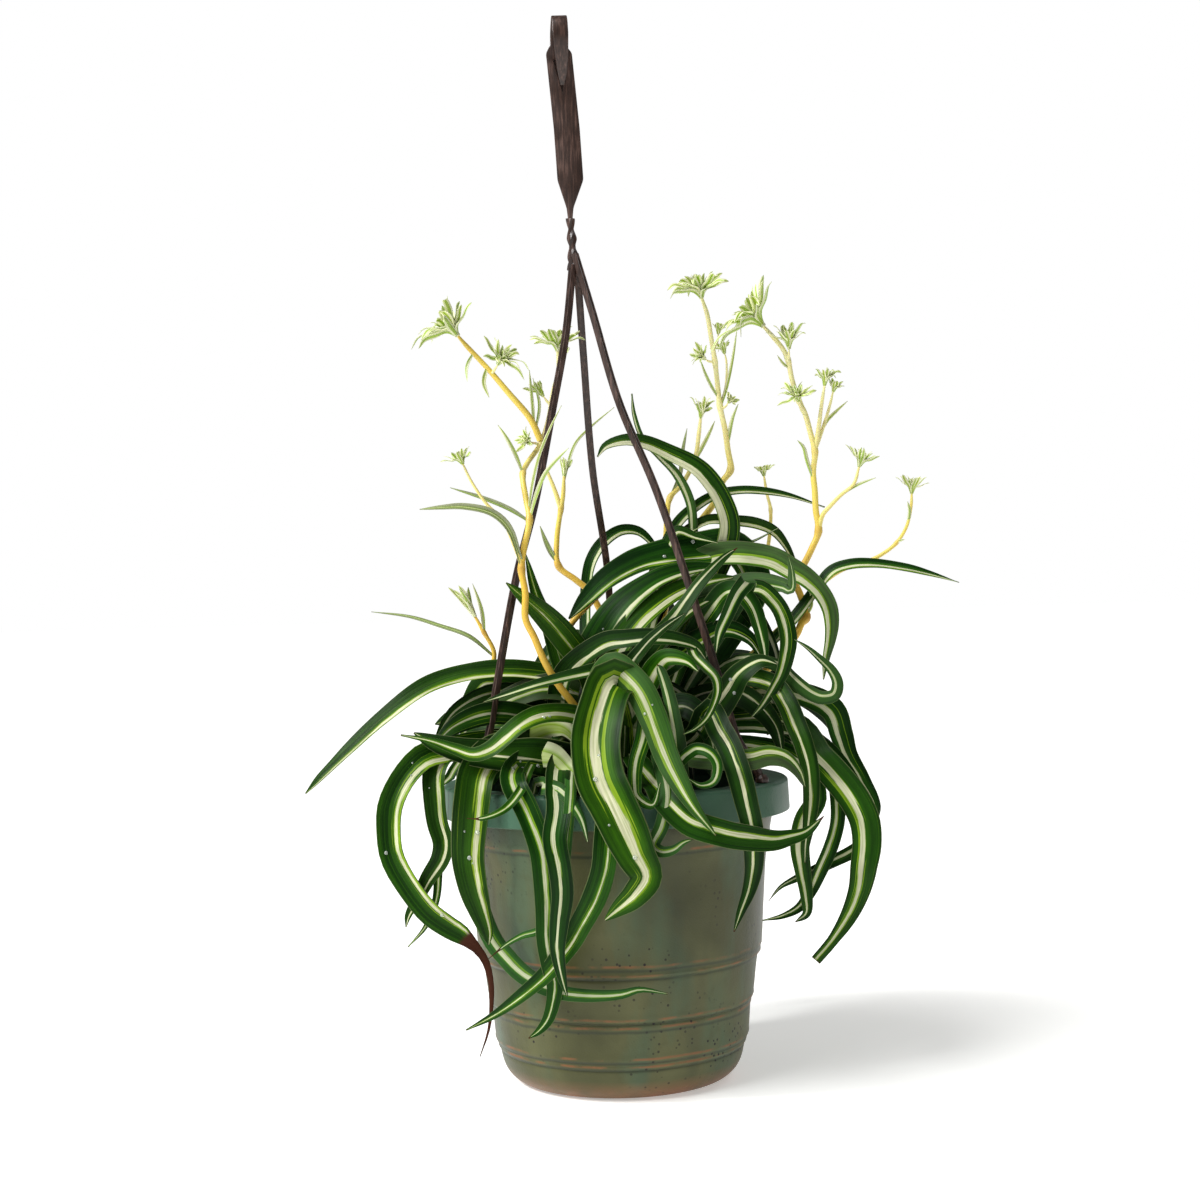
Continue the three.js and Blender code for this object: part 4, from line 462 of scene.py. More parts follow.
def makePotMaterial(look, ridges):
    material, tree = newMaterial("agedStonewareLookPolypropylene")
    math2, ease, mix = "ShaderNodeMath", "ShaderNodeMapRange", "ShaderNodeMix"
    place = addNode(tree, "ShaderNodeTexCoord", out="Object")
    height = addNode(tree, "ShaderNodeSeparateXYZ", {0: place}, "Z")

    # noises by the size of their patches in millimetres, some drawn out along the height
    patches = {}
    for name, size, detail, stretch in (
            ("cloud", 70, 3.0, 1.0), ("tone", 38, 4.0, 0.35), ("run", 33, 2.0, 0.12), ("wander", 25, 3.0, 1.0),
            ("worn", 14, 4.0, 1.0), ("dirt", 50, 4.0, 1.0), ("mottle", 8, 3.0, 1.0), ("grit", 1.1, 2.0, 1.0)):
        spot = addNode(tree, "ShaderNodeMapping", {"Vector": place, "Scale": (1, 1, stretch)})
        patches[name] = addNode(tree, "ShaderNodeTexNoise", {"Vector": spot, "Scale": 1 / (size * mm),
                                                             "Detail": detail})

    uneven = addNode(tree, math2, {"operation": "MULTIPLY_ADD", 0: patches["wander"], 1: 0.0022, 2: height})
    uneven = addNode(tree, math2, {"operation": "SUBTRACT", 0: uneven, 1: 0.0011})
    colour = addNode(tree, mix, {
        "data_type": "RGBA", "A": look["moss"], "B": look["sage"], "Factor": addNode(tree, ease, {
            "Value": patches["cloud"], "From Min": 0.42, "From Max": 0.6})})
    for name, low, high, share, over in (("tone", 0.52, 0.68, 0.6, "teal"), ("run", 0.5, 0.72, 0.5, "shade"),
                                         ("mottle", 0.55, 0.75, 0.35, "moss")):
        amount = addNode(tree, ease, {
            "Value": patches[name], "From Min": low, "From Max": high, "To Max": share})
        colour = addNode(tree, mix, {"data_type": "RGBA", "Factor": amount, "A": colour, "B": look[over]})
    patchy = addNode(tree, ease, {"Value": patches["worn"], "From Min": 0.42, "From Max": 0.58})
    for ridge in ridges:
        for below, reach, share, over in ((-0.4, 1.0, 0.62, "clay"), (2.0, 1.4, 0.6, "shade")):
            apart = addNode(tree, math2, {"operation": "SUBTRACT", 0: uneven, 1: (ridge - below) * mm})
            apart = addNode(tree, math2, {"operation": "ABSOLUTE", 0: apart})
            line = addNode(tree, ease, {"Value": apart, "From Min": 0.3 * mm, "From Max": reach * mm,
                                        "To Min": share, "To Max": 0.0})
            if over == "clay":
                line = addNode(tree, math2, {"operation": "MULTIPLY", 0: line, 1: patchy})
            colour = addNode(tree, mix, {"data_type": "RGBA", "Factor": line, "A": colour, "B": look[over]})
    collar = addNode(tree, ease, {"Value": height, "From Min": 0.158, "From Max": 0.161, "To Max": 0.85})
    colour = addNode(tree, mix, {"data_type": "RGBA", "Factor": collar, "A": colour, "B": look["collar"]})
    foot = addNode(tree, ease, {"Value": uneven, "From Min": 0.002, "From Max": 0.013, "To Min": 0.95,
                                "To Max": 0.0})
    footPatchy = addNode(tree, ease, {
        "Value": patches["wander"], "From Min": 0.3, "From Max": 0.6, "To Min": 0.3})
    foot = addNode(tree, math2, {"operation": "MULTIPLY", 0: foot, 1: footPatchy})
    colour = addNode(tree, mix, {"data_type": "RGBA", "Factor": foot, "A": colour, "B": look["foot"]})
    # specks of potting mix about 1 mm across, in patches
    dots = addNode(tree, "ShaderNodeTexVoronoi", {"Vector": place, "Scale": 230.0}, "Distance")
    dots = addNode(tree, ease, {
        "Value": dots, "From Min": 0.14, "From Max": 0.22, "To Min": 1.0, "To Max": 0.0})
    dirty = addNode(tree, ease, {"Value": patches["dirt"], "From Min": 0.48, "From Max": 0.62})
    dots = addNode(tree, math2, {"operation": "MULTIPLY", 0: dots, 1: dirty})
    colour = addNode(tree, mix, {"data_type": "RGBA", "Factor": dots, "A": colour, "B": look["speck"]})
    relief = addNode(tree, math2, {
        "operation": "MULTIPLY_ADD", 0: patches["mottle"], 1: 2.0, 2: patches["grit"]})
    bump = addNode(tree, "ShaderNodeBump", {"Strength": 0.3, "Distance": 0.0004, "Height": relief})
    rough = addNode(tree, math2, {"operation": "MULTIPLY_ADD", 0: patches["cloud"], 1: 0.25,
                                  2: look["roughness"] - 0.1})
    skin = addNode(tree, "ShaderNodeBsdfPrincipled", {
        "IOR": 1.49, "Specular IOR Level": 0.3, "Base Color": colour, "Roughness": rough, "Normal": bump})
    addNode(tree, "ShaderNodeOutputMaterial", {"Surface": skin})
    return material


pot = makePot(potSize, potLook)
pot.data.materials.append(makePotMaterial(potFinish, potLook["ridges"]))
print("pot made")


soilLook = {"rings": 30, "sides": 96, "rough": 2.0, "grain": 2.2, "density": 90000.0, "seed": 4,
            "stock": 26.5, "dark": "#0d0907", "peat": "#211812", "crumb": "#403024", "roughness": 0.85}


# Bark, peat and grit, scattered over the soil's top
def makeGrainTree():
    tree, given = newTree("scatterGrains", [
        ("Density", "Float", 60000.0), ("Grain Size", "Float", 0.002), ("Seed", "Int", 4),
        ("Material", "Material", None)])
    facing = addNode(tree, "GeometryNodeInputNormal")
    upward = addNode(tree, "ShaderNodeSeparateXYZ", {0: facing}, "Z")
    isTop = addNode(tree, "FunctionNodeCompare", {"operation": "GREATER_THAN", 0: upward, 1: 0.6})
    spots = addNode(tree, "GeometryNodeDistributePointsOnFaces", {
        "Mesh": given["Geometry"], "Selection": isTop, "Density": given["Density"], "Seed": given["Seed"]})
    grain = addNode(tree, "GeometryNodeMeshIcoSphere", {"Subdivisions": 1, "Radius": given["Grain Size"]})
    turn = addNode(tree, "FunctionNodeRandomValue", {"data_type": "FLOAT_VECTOR", 1: (6.3, 6.3, 6.3),
                                                     "Seed": given["Seed"]})
    stretch = addNode(tree, "FunctionNodeRandomValue", {
        "data_type": "FLOAT_VECTOR", 0: (0.25, 0.25, 0.2), 1: (1.3, 0.8, 0.5), "Seed": given["Seed"]})
    placed = addNode(tree, "GeometryNodeInstanceOnPoints", {
        "Points": spots, "Instance": grain, "Rotation": turn, "Scale": stretch})
    joined = addNode(tree, "GeometryNodeJoinGeometry", {0: given["Geometry"]})
    tree.links.new(placed, joined.node.inputs[0])
    endTree(tree, joined, given["Material"])
    return tree


# Damp peat and bark: nearly black, broken by brown crumbs
def makeSoilMaterial(look):
    material, tree = newMaterial("dampPeatAndBark")
    place = addNode(tree, "ShaderNodeTexCoord", out="Object")
    crumbs = addNode(tree, "ShaderNodeTexVoronoi", {"Vector": place, "Scale": 450.0}, "Color")
    tone = addNode(tree, "ShaderNodeSeparateColor", {0: crumbs})
    colours = addNode(tree, "ShaderNodeValToRGB", {
        "stops": [(0.0, look["dark"]), (0.55, look["peat"]), (0.95, look["crumb"])], 0: tone})
    fine = addNode(tree, "ShaderNodeTexNoise", {"Vector": place, "Scale": 1500.0, "Detail": 3.0})
    bump = addNode(tree, "ShaderNodeBump", {"Strength": 0.6, "Distance": 0.0006, "Height": fine})
    skin = addNode(tree, "ShaderNodeBsdfPrincipled", {
        "Roughness": look["roughness"], "IOR": 1.4, "Base Color": colours, "Normal": bump})
    addNode(tree, "ShaderNodeOutputMaterial", {"Surface": skin})
    return material


def makeSoil(size, look):
    sunk = size["soilTop"]
    outline = [(0, 3.4), (59.6, 3.4), (66.6, 7.3), (72.4, 25.2), (81.6, 77.2), (87, 134), (90.2, 155),
               (89, sunk - 1.5)]
    outline += [(radius, sunk) for radius in np.linspace(86, look["stock"], look["rings"])]
    outline += [(look["stock"], 142), (0, 142)]
    soil = turnedSkin("soilMix", outline, look["sides"])
    draw = drawsFrom(look["seed"])
    for vertex in soil.data.vertices:
        radius = math.hypot(vertex.co.x, vertex.co.y) / mm
        if vertex.co.z > (sunk - 0.5) * mm and radius > look["stock"] + 1:
            vertex.co.z += (draw() - 0.35) * look["rough"] * mm
    addTree(soil, makeGrainTree(), {"Density": look["density"], "Grain Size": look["grain"] * mm,
                                    "Seed": look["seed"], "Material": makeSoilMaterial(look)})
    return finishPiece(bakeMesh(soil), "soil", "soil")


makeSoil(potSize, soilLook)
print("soil made")


# The neck is given by heights and half widths, and has four lobes from its twisted ribs. The window is given by
# its corners and its depth from front to back, the strap's ends by side, and the band by points with shares of
# its width and thickness.
hangerLook = {
    "width": 4.5, "depth": 3.4, "groove": 1.2, "strapWidth": 15.8, "strapThickness": 2.6, "bandWidth": 9.4,
    "bandThickness": 2.4, "bandSteps": 60, "junction": (-17.6, 0, 498), "steps": 70,
    "neck": [(489, 4.4), (496, 4), (502, 2.4), (508, 3.2), (514, 2.2), (520.5, 2.9)], "neckSteps": 30,
    "neckTwist": 9, "neckLean": 0.05, "neckLobe": (0.82, 0.18), "neckFlat": 0.75,
    "window": [(-21.4, 597), (-17.6, 617), (-26.6, 617)], "windowDepth": (-6, 0.5),
    "strapEnds": [(1, [(-17.4, 519), (-16.6, 527), (-18.9, 626)]),
                  (-1, [(-20, 519), (-20.8, 527), (-28.3, 626)])]}
bandRoute = [
    (-23.6, 0, 618, 1, 1), (-23.6, 0, 622, 1, 1), (-23.5, 0.8, 631, 1, 1), (-23, -1.4, 638, 1, 1),
    (-22.4, -6, 641, 1, 1), (-21.9, -10.8, 638, 1, 1), (-21.5, -12.4, 630, 1, 1), (-21.2, -10.2, 618, 0.85, 1),
    (-21.2, -6, 607, 0.55, 0.75), (-21.3, -2.6, 601.5, 0.25, 0.75)]


# Joins rings of points, all with the same count, into one closed skin with flat ends
def skinRings(name, rings):
    count = len(rings[0])
    faces = [(row * count + side, row * count + (side + 1) % count, (row + 1) * count + (side + 1) % count,
              (row + 1) * count + side) for row in range(len(rings) - 1) for side in range(count)]
    faces += [tuple(range(count))[::-1], tuple((len(rings) - 1) * count + side for side in range(count))]
    return faceOutwards(newObject(name, np.vstack(rings) * mm, faces))


# A double-ribbed channel in section: across and out, with a groove along the outer face
def channelSection(width, depth, groove):
    a, d = width / 2, depth / 2
    corners = [(-a, -d), (a, -d), (a, d), (0.45 * a, d), (0.2 * a, d - groove), (-0.2 * a, d - groove),
               (-0.45 * a, d), (-a, d)]
    return np.array(roundCorners([(-a, 0)] + corners + [(-a, 0)], 0.4, 2)[:-1])


def makeArms(look):
    section = channelSection(look["width"], look["depth"], look["groove"])
    arms = []
    for arm, path in enumerate(armPaths):
        places, ways = spline(path, np.arange(look["steps"] + 1) / look["steps"])
        bearing = math.radians(armBearings[arm])
        radial = np.array((math.cos(bearing), math.sin(bearing), 0))
        rings = []
        for place, way in zip(places, ways):
            sideways = unit(np.cross(radial, way))
            outward = unit(np.cross(way, sideways))
            rings.append([place + sideways * x + outward * y for x, y in section])
        arms.append(skinRings("arm", rings))
        top = potSize["height"]
        arms.append(turnedSkin("armEnd", roundCorners([
            (0, top + 5), (2.6, top + 5), (3.9, top + 2.6), (3.9, top + 0.35), (2.3, top + 0.35),
            (2.3, top - 3), (3.3, top - 3), (2.3, top - 7.5), (0, top - 7.5)], 0.5), 32, holePlaces[arm]))
    return arms


def makeStrap(look):
    half, thick = look["strapWidth"] / 2, look["strapThickness"] / 2
    right, left = ([ends[0], ends[1], (-18 + side * half, 544), (-19.4 + side * half, 575),
                    (-23 + side * half, 621), ends[2]] for side, ends in look["strapEnds"])
    middle = ((right[0][0] + left[0][0]) / 2, right[0][1])
    outline = roundCorners([middle] + right + left[::-1] + [middle], 1.6, 4)[:-1]
    strap = skinRings("strap", [[np.array((x, y, z)) for x, z in outline] for y in (-thick, thick)])
    cutOut(strap, skinRings("window", [[np.array((x, y, z)) for x, z in look["window"]]
                                       for y in look["windowDepth"]]))
    bevel = strap.modifiers.new("edge", "BEVEL")
    bevel.width, bevel.segments, bevel.limit_method = 0.5 * mm, 2, "ANGLE"
    return bakeMesh(strap)


# The neck is drawn thin and twisted three quarters of a turn while it is warm
def makeNeck(look):
    rings = []
    heights, halves = zip(*look["neck"])
    for height in np.linspace(heights[0], heights[-1], look["neckSteps"]):
        half = float(np.interp(height, heights, halves))
        leaned = look["junction"][0] - (height - look["junction"][2]) * look["neckLean"]
        middle = np.array((leaned, 0, height))
        twist = math.radians((height - heights[0]) * look["neckTwist"])
        ring = []
        for step in range(16):
            angle = step * math.pi / 8
            lobe = half * (look["neckLobe"][0] + look["neckLobe"][1] * math.cos(4 * angle))
            ring.append(middle + np.array((math.cos(angle + twist) * lobe,
                                           math.sin(angle + twist) * lobe * look["neckFlat"], 0)))
        rings.append(ring)
    return skinRings("neck", rings)


def makeBand(look):
    route = np.array(bandRoute)
    shares = np.arange(look["bandSteps"] + 1) / look["bandSteps"]
    places, ways = spline(route[:, :3], shares)
    scales = [np.interp(shares, np.arange(len(route)) / (len(route) - 1), route[:, key]) for key in (3, 4)]
    rings = []
    for place, way, wide, thick in zip(places, ways, *scales):
        outward = unit(np.cross((1, 0, 0), way))
        half, deep = look["bandWidth"] / 2 * wide, look["bandThickness"] / 2 * thick
        section = roundCorners([(-half, 0), (-half, -deep), (half, -deep), (half, deep), (-half, deep),
                                (-half, 0)], 0.6, 3)
        rings.append([place + np.array((1, 0, 0)) * x + outward * y for x, y in section[:-1]])
    return skinRings("band", rings)


# Brown polypropylene, injection moulded: satin, with flow lines along each arm and pale scuffs on the ribs
hangerFinish = {"deep": "#241712", "brown": "#34231c", "scuff": "#5a433b", "lineWidth": 1.2}


def makeHangerMaterial(look):
    material, tree = newMaterial("brownMouldedPolypropylene")
    place = addNode(tree, "ShaderNodeTexCoord", out="Object")
    drawn = addNode(tree, "ShaderNodeMapping", {"Vector": place, "Scale": (1, 1, 0.08)})
    flow = addNode(tree, "ShaderNodeTexNoise", {"Vector": drawn, "Scale": 1 / (look["lineWidth"] * mm),
                                                "Detail": 3.0})
    scuff = addNode(tree, "ShaderNodeTexNoise", {"Vector": place, "Scale": 60.0, "Detail": 5.0})
    tone = addNode(tree, "ShaderNodeMath", {"operation": "MULTIPLY_ADD", 0: scuff, 1: 0.4, 2: flow})
    colours = addNode(tree, "ShaderNodeValToRGB", {
        "stops": [(0.5, look["deep"]), (0.72, look["brown"]), (0.92, look["scuff"])], 0: tone})
    rough = addNode(tree, "ShaderNodeMapRange", {
        "Value": scuff, "From Min": 0.3, "From Max": 0.7, "To Min": 0.28, "To Max": 0.46})
    bump = addNode(tree, "ShaderNodeBump", {"Strength": 0.3, "Distance": 0.0002, "Height": flow})
    skin = addNode(tree, "ShaderNodeBsdfPrincipled", {"IOR": 1.49, "Base Color": colours, "Roughness": rough,
                                                      "Normal": bump})
    addNode(tree, "ShaderNodeOutputMaterial", {"Surface": skin})
    return material


def joinPieces(name, parts):
    with bpy.context.temp_override(active_object=parts[0], selected_editable_objects=parts):
        bpy.ops.object.join()
    parts[0].name = parts[0].data.name = name
    return parts[0]


hanger = joinPieces("hangerMoulding", [makeStrap(hangerLook), makeNeck(hangerLook), makeBand(hangerLook)]
                    + makeArms(hangerLook))
hanger.data.materials.clear()
hanger.data.materials.append(makeHangerMaterial(hangerFinish))
finishPiece(softenEdges(hanger), "hanger", "hanger")
print("hanger made")


# Every leaf that the photo shows: width, turn of its face in degrees, half width of its stripe and the
# stripe's shift as shares of the leaf's half width, and how fresh it is. Then what only some leaves have,
# such as the share of the length where one turns dry, and the path.
leafRows = [
    (17, 0, 0.2, 0.1, 1, {}, [(-8, -25, 170), (-14, -45, 205), (-10, -62, 235), (0, -72, 247.5),
        (9, -80, 241), (17, -88, 231), (24, -96, 214), (31, -104, 193), (38, -112, 177), (46, -118, 162),
        (60, -122, 143)]),
    (22, 0, 0.24, 0, 0.9, {"widen": 1.3}, [(8, -25, 168), (14, -45, 200), (10, -62, 228), (0, -78, 238),
        (-8, -92, 222), (-12, -102, 200), (-10, -110, 180), (-3, -116, 164), (4, -120, 148),
        (11, -122, 132), (17, -122, 119), (10, -122, 108), (0, -118, 100), (-9, -114, 93)]),
    (11, 10, 0.26, 0.2, 0, {"dry": 0.95}, [(38, -70, 170), (38, -80, 186), (37, -88, 205), (34, -92, 226),
        (29, -94, 244), (27, -94, 248)]),
    (6, 20, 0.25, 0, 0.5, {}, [(45, -45, 262), (50, -60, 252), (56, -66, 246), (62.5, -72, 238.5),
        (63.5, -76, 231), (61, -80, 223), (56, -84, 214), (49, -88, 208), (42, -90, 205)]),
    (12, 10, 0.3, 0.3, 1, {"widen": 1.2}, [(20, -60, 235), (26, -66, 246), (33, -72, 252), (45, -76, 250),
        (52, -78, 243)]),
    (7, 10, 0.28, 0, 0.6, {}, [(36, -84, 186), (44, -92, 193), (50, -96, 196), (58, -100, 193),
        (62, -102, 185.5), (59.4, -104, 176), (51.6, -106, 173.7), (43.6, -106, 178.4)]),
    (9, 10, 0.28, 0, 0.7, {}, [(17, -96, 203.5), (12, -100, 188.7), (11, -104, 175.7), (12.5, -107, 168),
        (22, -108, 162.5), (27, -108, 176)]),
    (8, 10, 0.28, 0, 0.5, {}, [(29.5, -98, 180), (31, -106, 166), (27, -111, 149), (22, -113, 138),
        (27, -116, 134), (34, -116, 135), (40, -115, 139), (46, -114, 141)]),
    (15.5, 15, 0.19, 0.15, 0.5, {"dry": 0.96}, [(20, -90, 178), (32, -106, 163), (45, -112, 151),
        (65, -114, 144), (80, -108, 141), (95, -98, 139), (105, -92, 140.5), (115, -88, 143.5),
        (126, -84, 153)]),
    (14, 0, 0.16, 0.05, 0.05, {"dry": 0.975}, [(50, -55, 205), (58, -70, 219), (64, -78, 207),
        (70, -86, 196), (76, -94, 179), (80, -98, 161), (83, -98, 145), (83, -96, 131), (82, -94, 120),
        (79, -94, 108), (74, -96, 96), (69.5, -98, 84)]),
    (12, 10, 0.18, 0.1, 0.3, {}, [(95, -30, 235), (105, -45, 222), (110, -52, 209), (114.5, -58, 197),
        (118, -62, 182), (118.5, -64, 167), (117, -66, 151), (114.5, -66, 135), (113.8, -66, 125)]),
    (18, 10, 0.24, 0.1, 0.5, {"tip": 3.5}, [(112, -20, 205), (122, -34, 190), (131, -40, 180.5),
        (142, -46, 166), (149.5, -50, 150.5), (151, -52, 136), (149, -54, 122), (146.5, -54, 107.5),
        (140, -54, 92.5), (129.5, -54, 77.5), (118.6, -54, 65.5)]),
    (14, 15, 0.22, 0.3, 0.3, {}, [(118, -6, 226), (133, -10, 217), (138, -12, 203), (142, -14, 190),
        (150, -16, 175), (158, -18, 158), (157, -18, 147)]),
    (12, 10, 0.26, 0.2, 0.5, {"dry": 0.97}, [(122, -40, 165), (114, -42, 150), (111, -42, 135),
        (112, -42, 120), (114, -42, 105), (114, -42, 94), (107, -42, 89)]),
    (9, 10, 0.26, 0.2, 0.4, {}, [(132, -30, 180), (134, -32, 168), (134, -34, 150), (129, -36, 133),
        (122, -38, 118), (117, -38, 108), (110, -38, 98), (100, -38, 93), (87, -40, 90.5)]),
    (8, 10, 0.22, 0.2, 0.4, {"dry": 0.96}, [(128, -22, 196), (146, -26, 170), (153, -28, 150),
        (150, -30, 136), (143, -32, 131), (131.5, -34, 125.5), (119, -36, 120), (107, -38, 115),
        (98.5, -40, 110.4), (91, -42, 102)]),
    (12, 20, 0.27, 0.4, 0.6, {"widen": 1.15, "young": 0.04}, [(81, -86, 188), (94, -84, 190.6),
        (104, -82, 188), (111, -80, 180.6), (115, -78, 171)]),
    (16, 30, 0.38, 0.5, 0.9, {"young": 0.04}, [(40, -2, 300), (60, -2, 312), (74, -4, 314), (87, -6, 313),
        (100, -8, 310), (110, -11, 304), (119, -14, 298), (127, -17, 289.5), (132, -19, 280),
        (133.5, -21, 270), (132.5, -23, 260), (130, -25, 249), (128, -26, 236)]),
    (12, 20, 0.12, 0.4, 0.35, {"widen": 1.15, "young": 0.04}, [(45, -15, 275), (56, -15, 289),
        (70, -18, 294), (82, -20, 297), (95, -22, 296.5), (105, -24, 294), (109, -27, 292), (110, -28, 300),
        (108.5, -28, 312)]),
    (13, 15, 0.18, 0.1, 0.35, {}, [(60, -20, 280), (70, -24, 291), (78, -28, 291), (86, -32, 281.5),
        (90, -35, 269), (92.5, -37, 256), (93, -38, 246)]),
    (11, 20, 0.22, 0.2, 0.3, {}, [(78, -18, 290), (90, -22, 292), (99, -26, 284.5), (104, -30, 276),
        (107, -33, 262), (106, -36, 252), (103, -38, 241), (97.5, -40, 231), (90.5, -42, 221),
        (84, -44, 214.5)]),
    (10, 10, 0.28, 0, 0.1, {}, [(82, -40, 296), (77, -46, 290), (70.5, -50, 277), (65, -52, 264.5),
        (63, -54, 254)]),
    (16, 20, 0.2, 0.2, 0.05, {"widen": 1.2}, [(58, -52, 214), (70, -56, 230), (78, -60, 241),
        (90, -62, 248), (100, -62, 246)]),
    (8.5, 10, 0.24, 0.3, 0.2, {}, [(100, -30, 246), (108.5, -34, 238), (113.6, -36, 233),
        (120.4, -38, 227.7), (127.3, -40, 225), (134.4, -41, 226.7), (136.3, -42, 233.6), (133, -42, 241.5),
        (126.5, -42, 248.5), (119, -42, 255.5), (111, -42, 261)]),
    (8, 35, 0.25, 0.45, 0.6, {}, [(110, 2, 272), (126, 0, 292), (135, -1, 302), (146, -2, 305.5),
        (160, -3, 305.7), (181, -5, 302.5), (194, -6, 299), (212, -8, 293)]),
    (20, 25, 0.07, 0.6, 0.3, {"widen": 1.15}, [(74, 4, 317.5), (55, 0, 317), (35, -6, 315), (18, -12, 311),
        (0, -18, 302), (-14, -22, 290), (-26, -24, 277)]),
    (18, 20, 0.2, 0.6, 0.6, {"widen": 1.15}, [(-16, -22, 244), (-8, -30, 264), (6, -30, 284),
        (26, -26, 299), (48, -20, 306), (68, -14, 307)]),
    (17, 20, 0.3, 0.35, 0.8, {}, [(-4, -26, 240), (4, -38, 258), (18, -36, 276), (38, -30, 291),
        (58, -24, 298), (76, -18, 300)]),
    (15, 15, 0.2, 0.3, 0.3, {}, [(10, -30, 238), (20, -42, 254), (34, -38, 270), (52, -30, 283),
        (68, -24, 290)]),
    (16, 20, 0.13, 0.3, 0.1, {}, [(22, -20, 240), (36, -36, 250), (54, -26, 262), (70, -22, 268),
        (84, -22, 262), (92, -24, 248)]),
    (10, 10, 0.2, 0.4, 0.2, {"widen": 1.35}, [(-32, -30, 238), (-27, -34, 247), (-5, -46, 262),
        (8, -52, 264), (25, -56, 265), (40, -56, 263), (52, -54, 258), (57, -54, 250)]),
    (9, 10, 0.22, -0.3, 0.1, {"widen": 1.15, "dry": 0.95}, [(20, -44, 255), (38.4, -50, 275),
        (45.5, -51, 284.4), (52.8, -50, 294.5), (60.8, -48, 303.5), (69.6, -44, 312), (77.6, -40, 317.5)]),
    (9, 10, 0.16, 0.1, 0.1, {}, [(5, -52, 235), (11, -62, 249), (16.4, -64, 256), (24.4, -66, 264.5),
        (34, -66, 272), (44.5, -64, 278.4)]),
    (8, 15, 0.3, 0.35, 0.2, {}, [(12, -44, 252), (-5, -50, 247), (-22.8, -54, 243.4), (-44.5, -57, 238.6),
        (-63.6, -58, 233), (-79, -59, 228)]),
    (13, 35, 0.17, 0.72, 1, {}, [(-5, -15, 215), (-30, -20, 240), (-48, -21, 245), (-79, -22, 246),
        (-100, -24, 242.5), (-120, -28, 234), (-140, -32, 220), (-159.5, -36, 203), (-179.5, -40, 185),
        (-189, -40, 175)]),
    (12, 15, 0.2, 0.62, 0.8, {"widen": 1.3, "dry": 0.72}, [(-40, -26, 200), (-80, -34, 203),
        (-100, -42, 199), (-116, -50, 195.5), (-129, -54, 183), (-137, -58, 167), (-138.5, -60, 151.5),
        (-137, -62, 135.7), (-128, -64, 117.5), (-116, -66, 101), (-105, -66, 92.5), (-95, -66, 86),
        (-83.3, -64, 72.6), (-79.5, -62, 59), (-79.3, -60, 43), (-81.5, -58, 27.5), (-87, -56, 12)]),
    (11, 20, 0.26, 0.1, 1, {"widen": 1.15}, [(-12, -50, 212), (-28, -66, 219), (-45, -78, 219),
        (-57, -84, 214), (-67, -86, 206), (-76, -86, 199), (-86, -86, 196), (-97, -84, 199.5),
        (-112, -82, 205), (-130, -80, 209)]),
    (20, 10, 0.1, 0.1, 0.3, {"widen": 1.25}, [(-20, -50, 186), (-35, -62, 190), (-50, -70, 193.2),
        (-65, -74, 194.2), (-80, -76, 196.2), (-95, -76, 199.2), (-110, -74, 204.2), (-122, -72, 210.2)]),
    (12, 10, 0.2, 0.35, 0.3, {"widen": 1.2}, [(-95, -36, 200), (-105, -44, 195), (-110, -50, 185),
        (-110.5, -54, 169.5), (-109, -56, 155), (-106, -58, 142.5), (-108, -58, 133), (-116, -58, 121),
        (-122, -58, 110), (-128.5, -58, 99), (-130, -58, 92)]),
    (6, 10, 0.25, 0, 0.5, {}, [(-96, -30, 190), (-108, -34, 160), (-109, -36, 130), (-111, -38, 108),
        (-118, -40, 92), (-129, -42, 80)]),
    (19, 0, 0.17, 0.45, 0.7, {"widen": 1.2}, [(-60, -60, 200), (-76, -70, 196), (-84.5, -78, 185.5),
        (-88, -84, 168.6), (-90, -86, 150.5), (-91.3, -86, 132), (-89, -86, 116.5), (-84.5, -84, 101.5),
        (-80.6, -82, 88), (-80, -80, 80)]),
    (11, 0, 0.3, 0, 0.5, {}, [(-66, -62, 192), (-82, -74, 176), (-88, -76, 150), (-88, -70, 120),
        (-84, -70, 100), (-77, -74, 82), (-69.5, -78, 72), (-60, -83, 62), (-48, -89, 54.3),
        (-36, -93, 49.7), (-19, -97, 47.4), (0, -99, 47.7), (11.4, -99, 50.3), (28.3, -97, 47.4)]),
    (14, 0, 0.18, 0.05, 0.5, {"dry": 0.97}, [(-50, -60, 195), (-62, -80, 186), (-62, -94, 176),
        (-56, -99, 164), (-50.5, -103, 150.5), (-46, -105, 136), (-44, -105, 119), (-43.5, -103, 100.7),
        (-44, -101, 82.5), (-42, -98, 66), (-40, -95, 54), (-44.5, -93, 35), (-50.5, -91, 27),
        (-57, -89, 22.5)]),
    (13, 0, 0.22, -0.1, 0.1, {"widen": 1.15}, [(-34, -70, 190), (-36, -94, 178), (-36, -108, 160),
        (-38.6, -114, 143), (-36, -116, 126), (-34.5, -114, 109), (-36.5, -112, 92), (-37.8, -110, 75),
        (-35.6, -108, 59), (-33, -107, 47.5)]),
    (13, 0, 0.1, -0.15, 0.6, {"widen": 1.15}, [(-2, -78, 184), (-3, -97, 179), (-4.5, -109, 160),
        (-6.5, -113, 140), (-8.7, -114, 123), (-15, -112, 106), (-24, -108, 90.5), (-30.5, -104, 79.6),
        (-38, -101, 70), (-46, -98, 61), (-56, -94, 52.5), (-68, -86, 43.5), (-80, -78, 36),
        (-95, -72, 28.5)]),
    (7, 0, 0.25, 0, 0.8, {"widen": 1, "dry": 0.92}, [(-26, -84, 186), (-28, -108, 168), (-30, -110, 150),
        (-33, -106, 125), (-36, -102, 108), (-47.5, -99, 89), (-59.6, -94, 85), (-69, -90, 80),
        (-80.3, -84, 71.5)]),
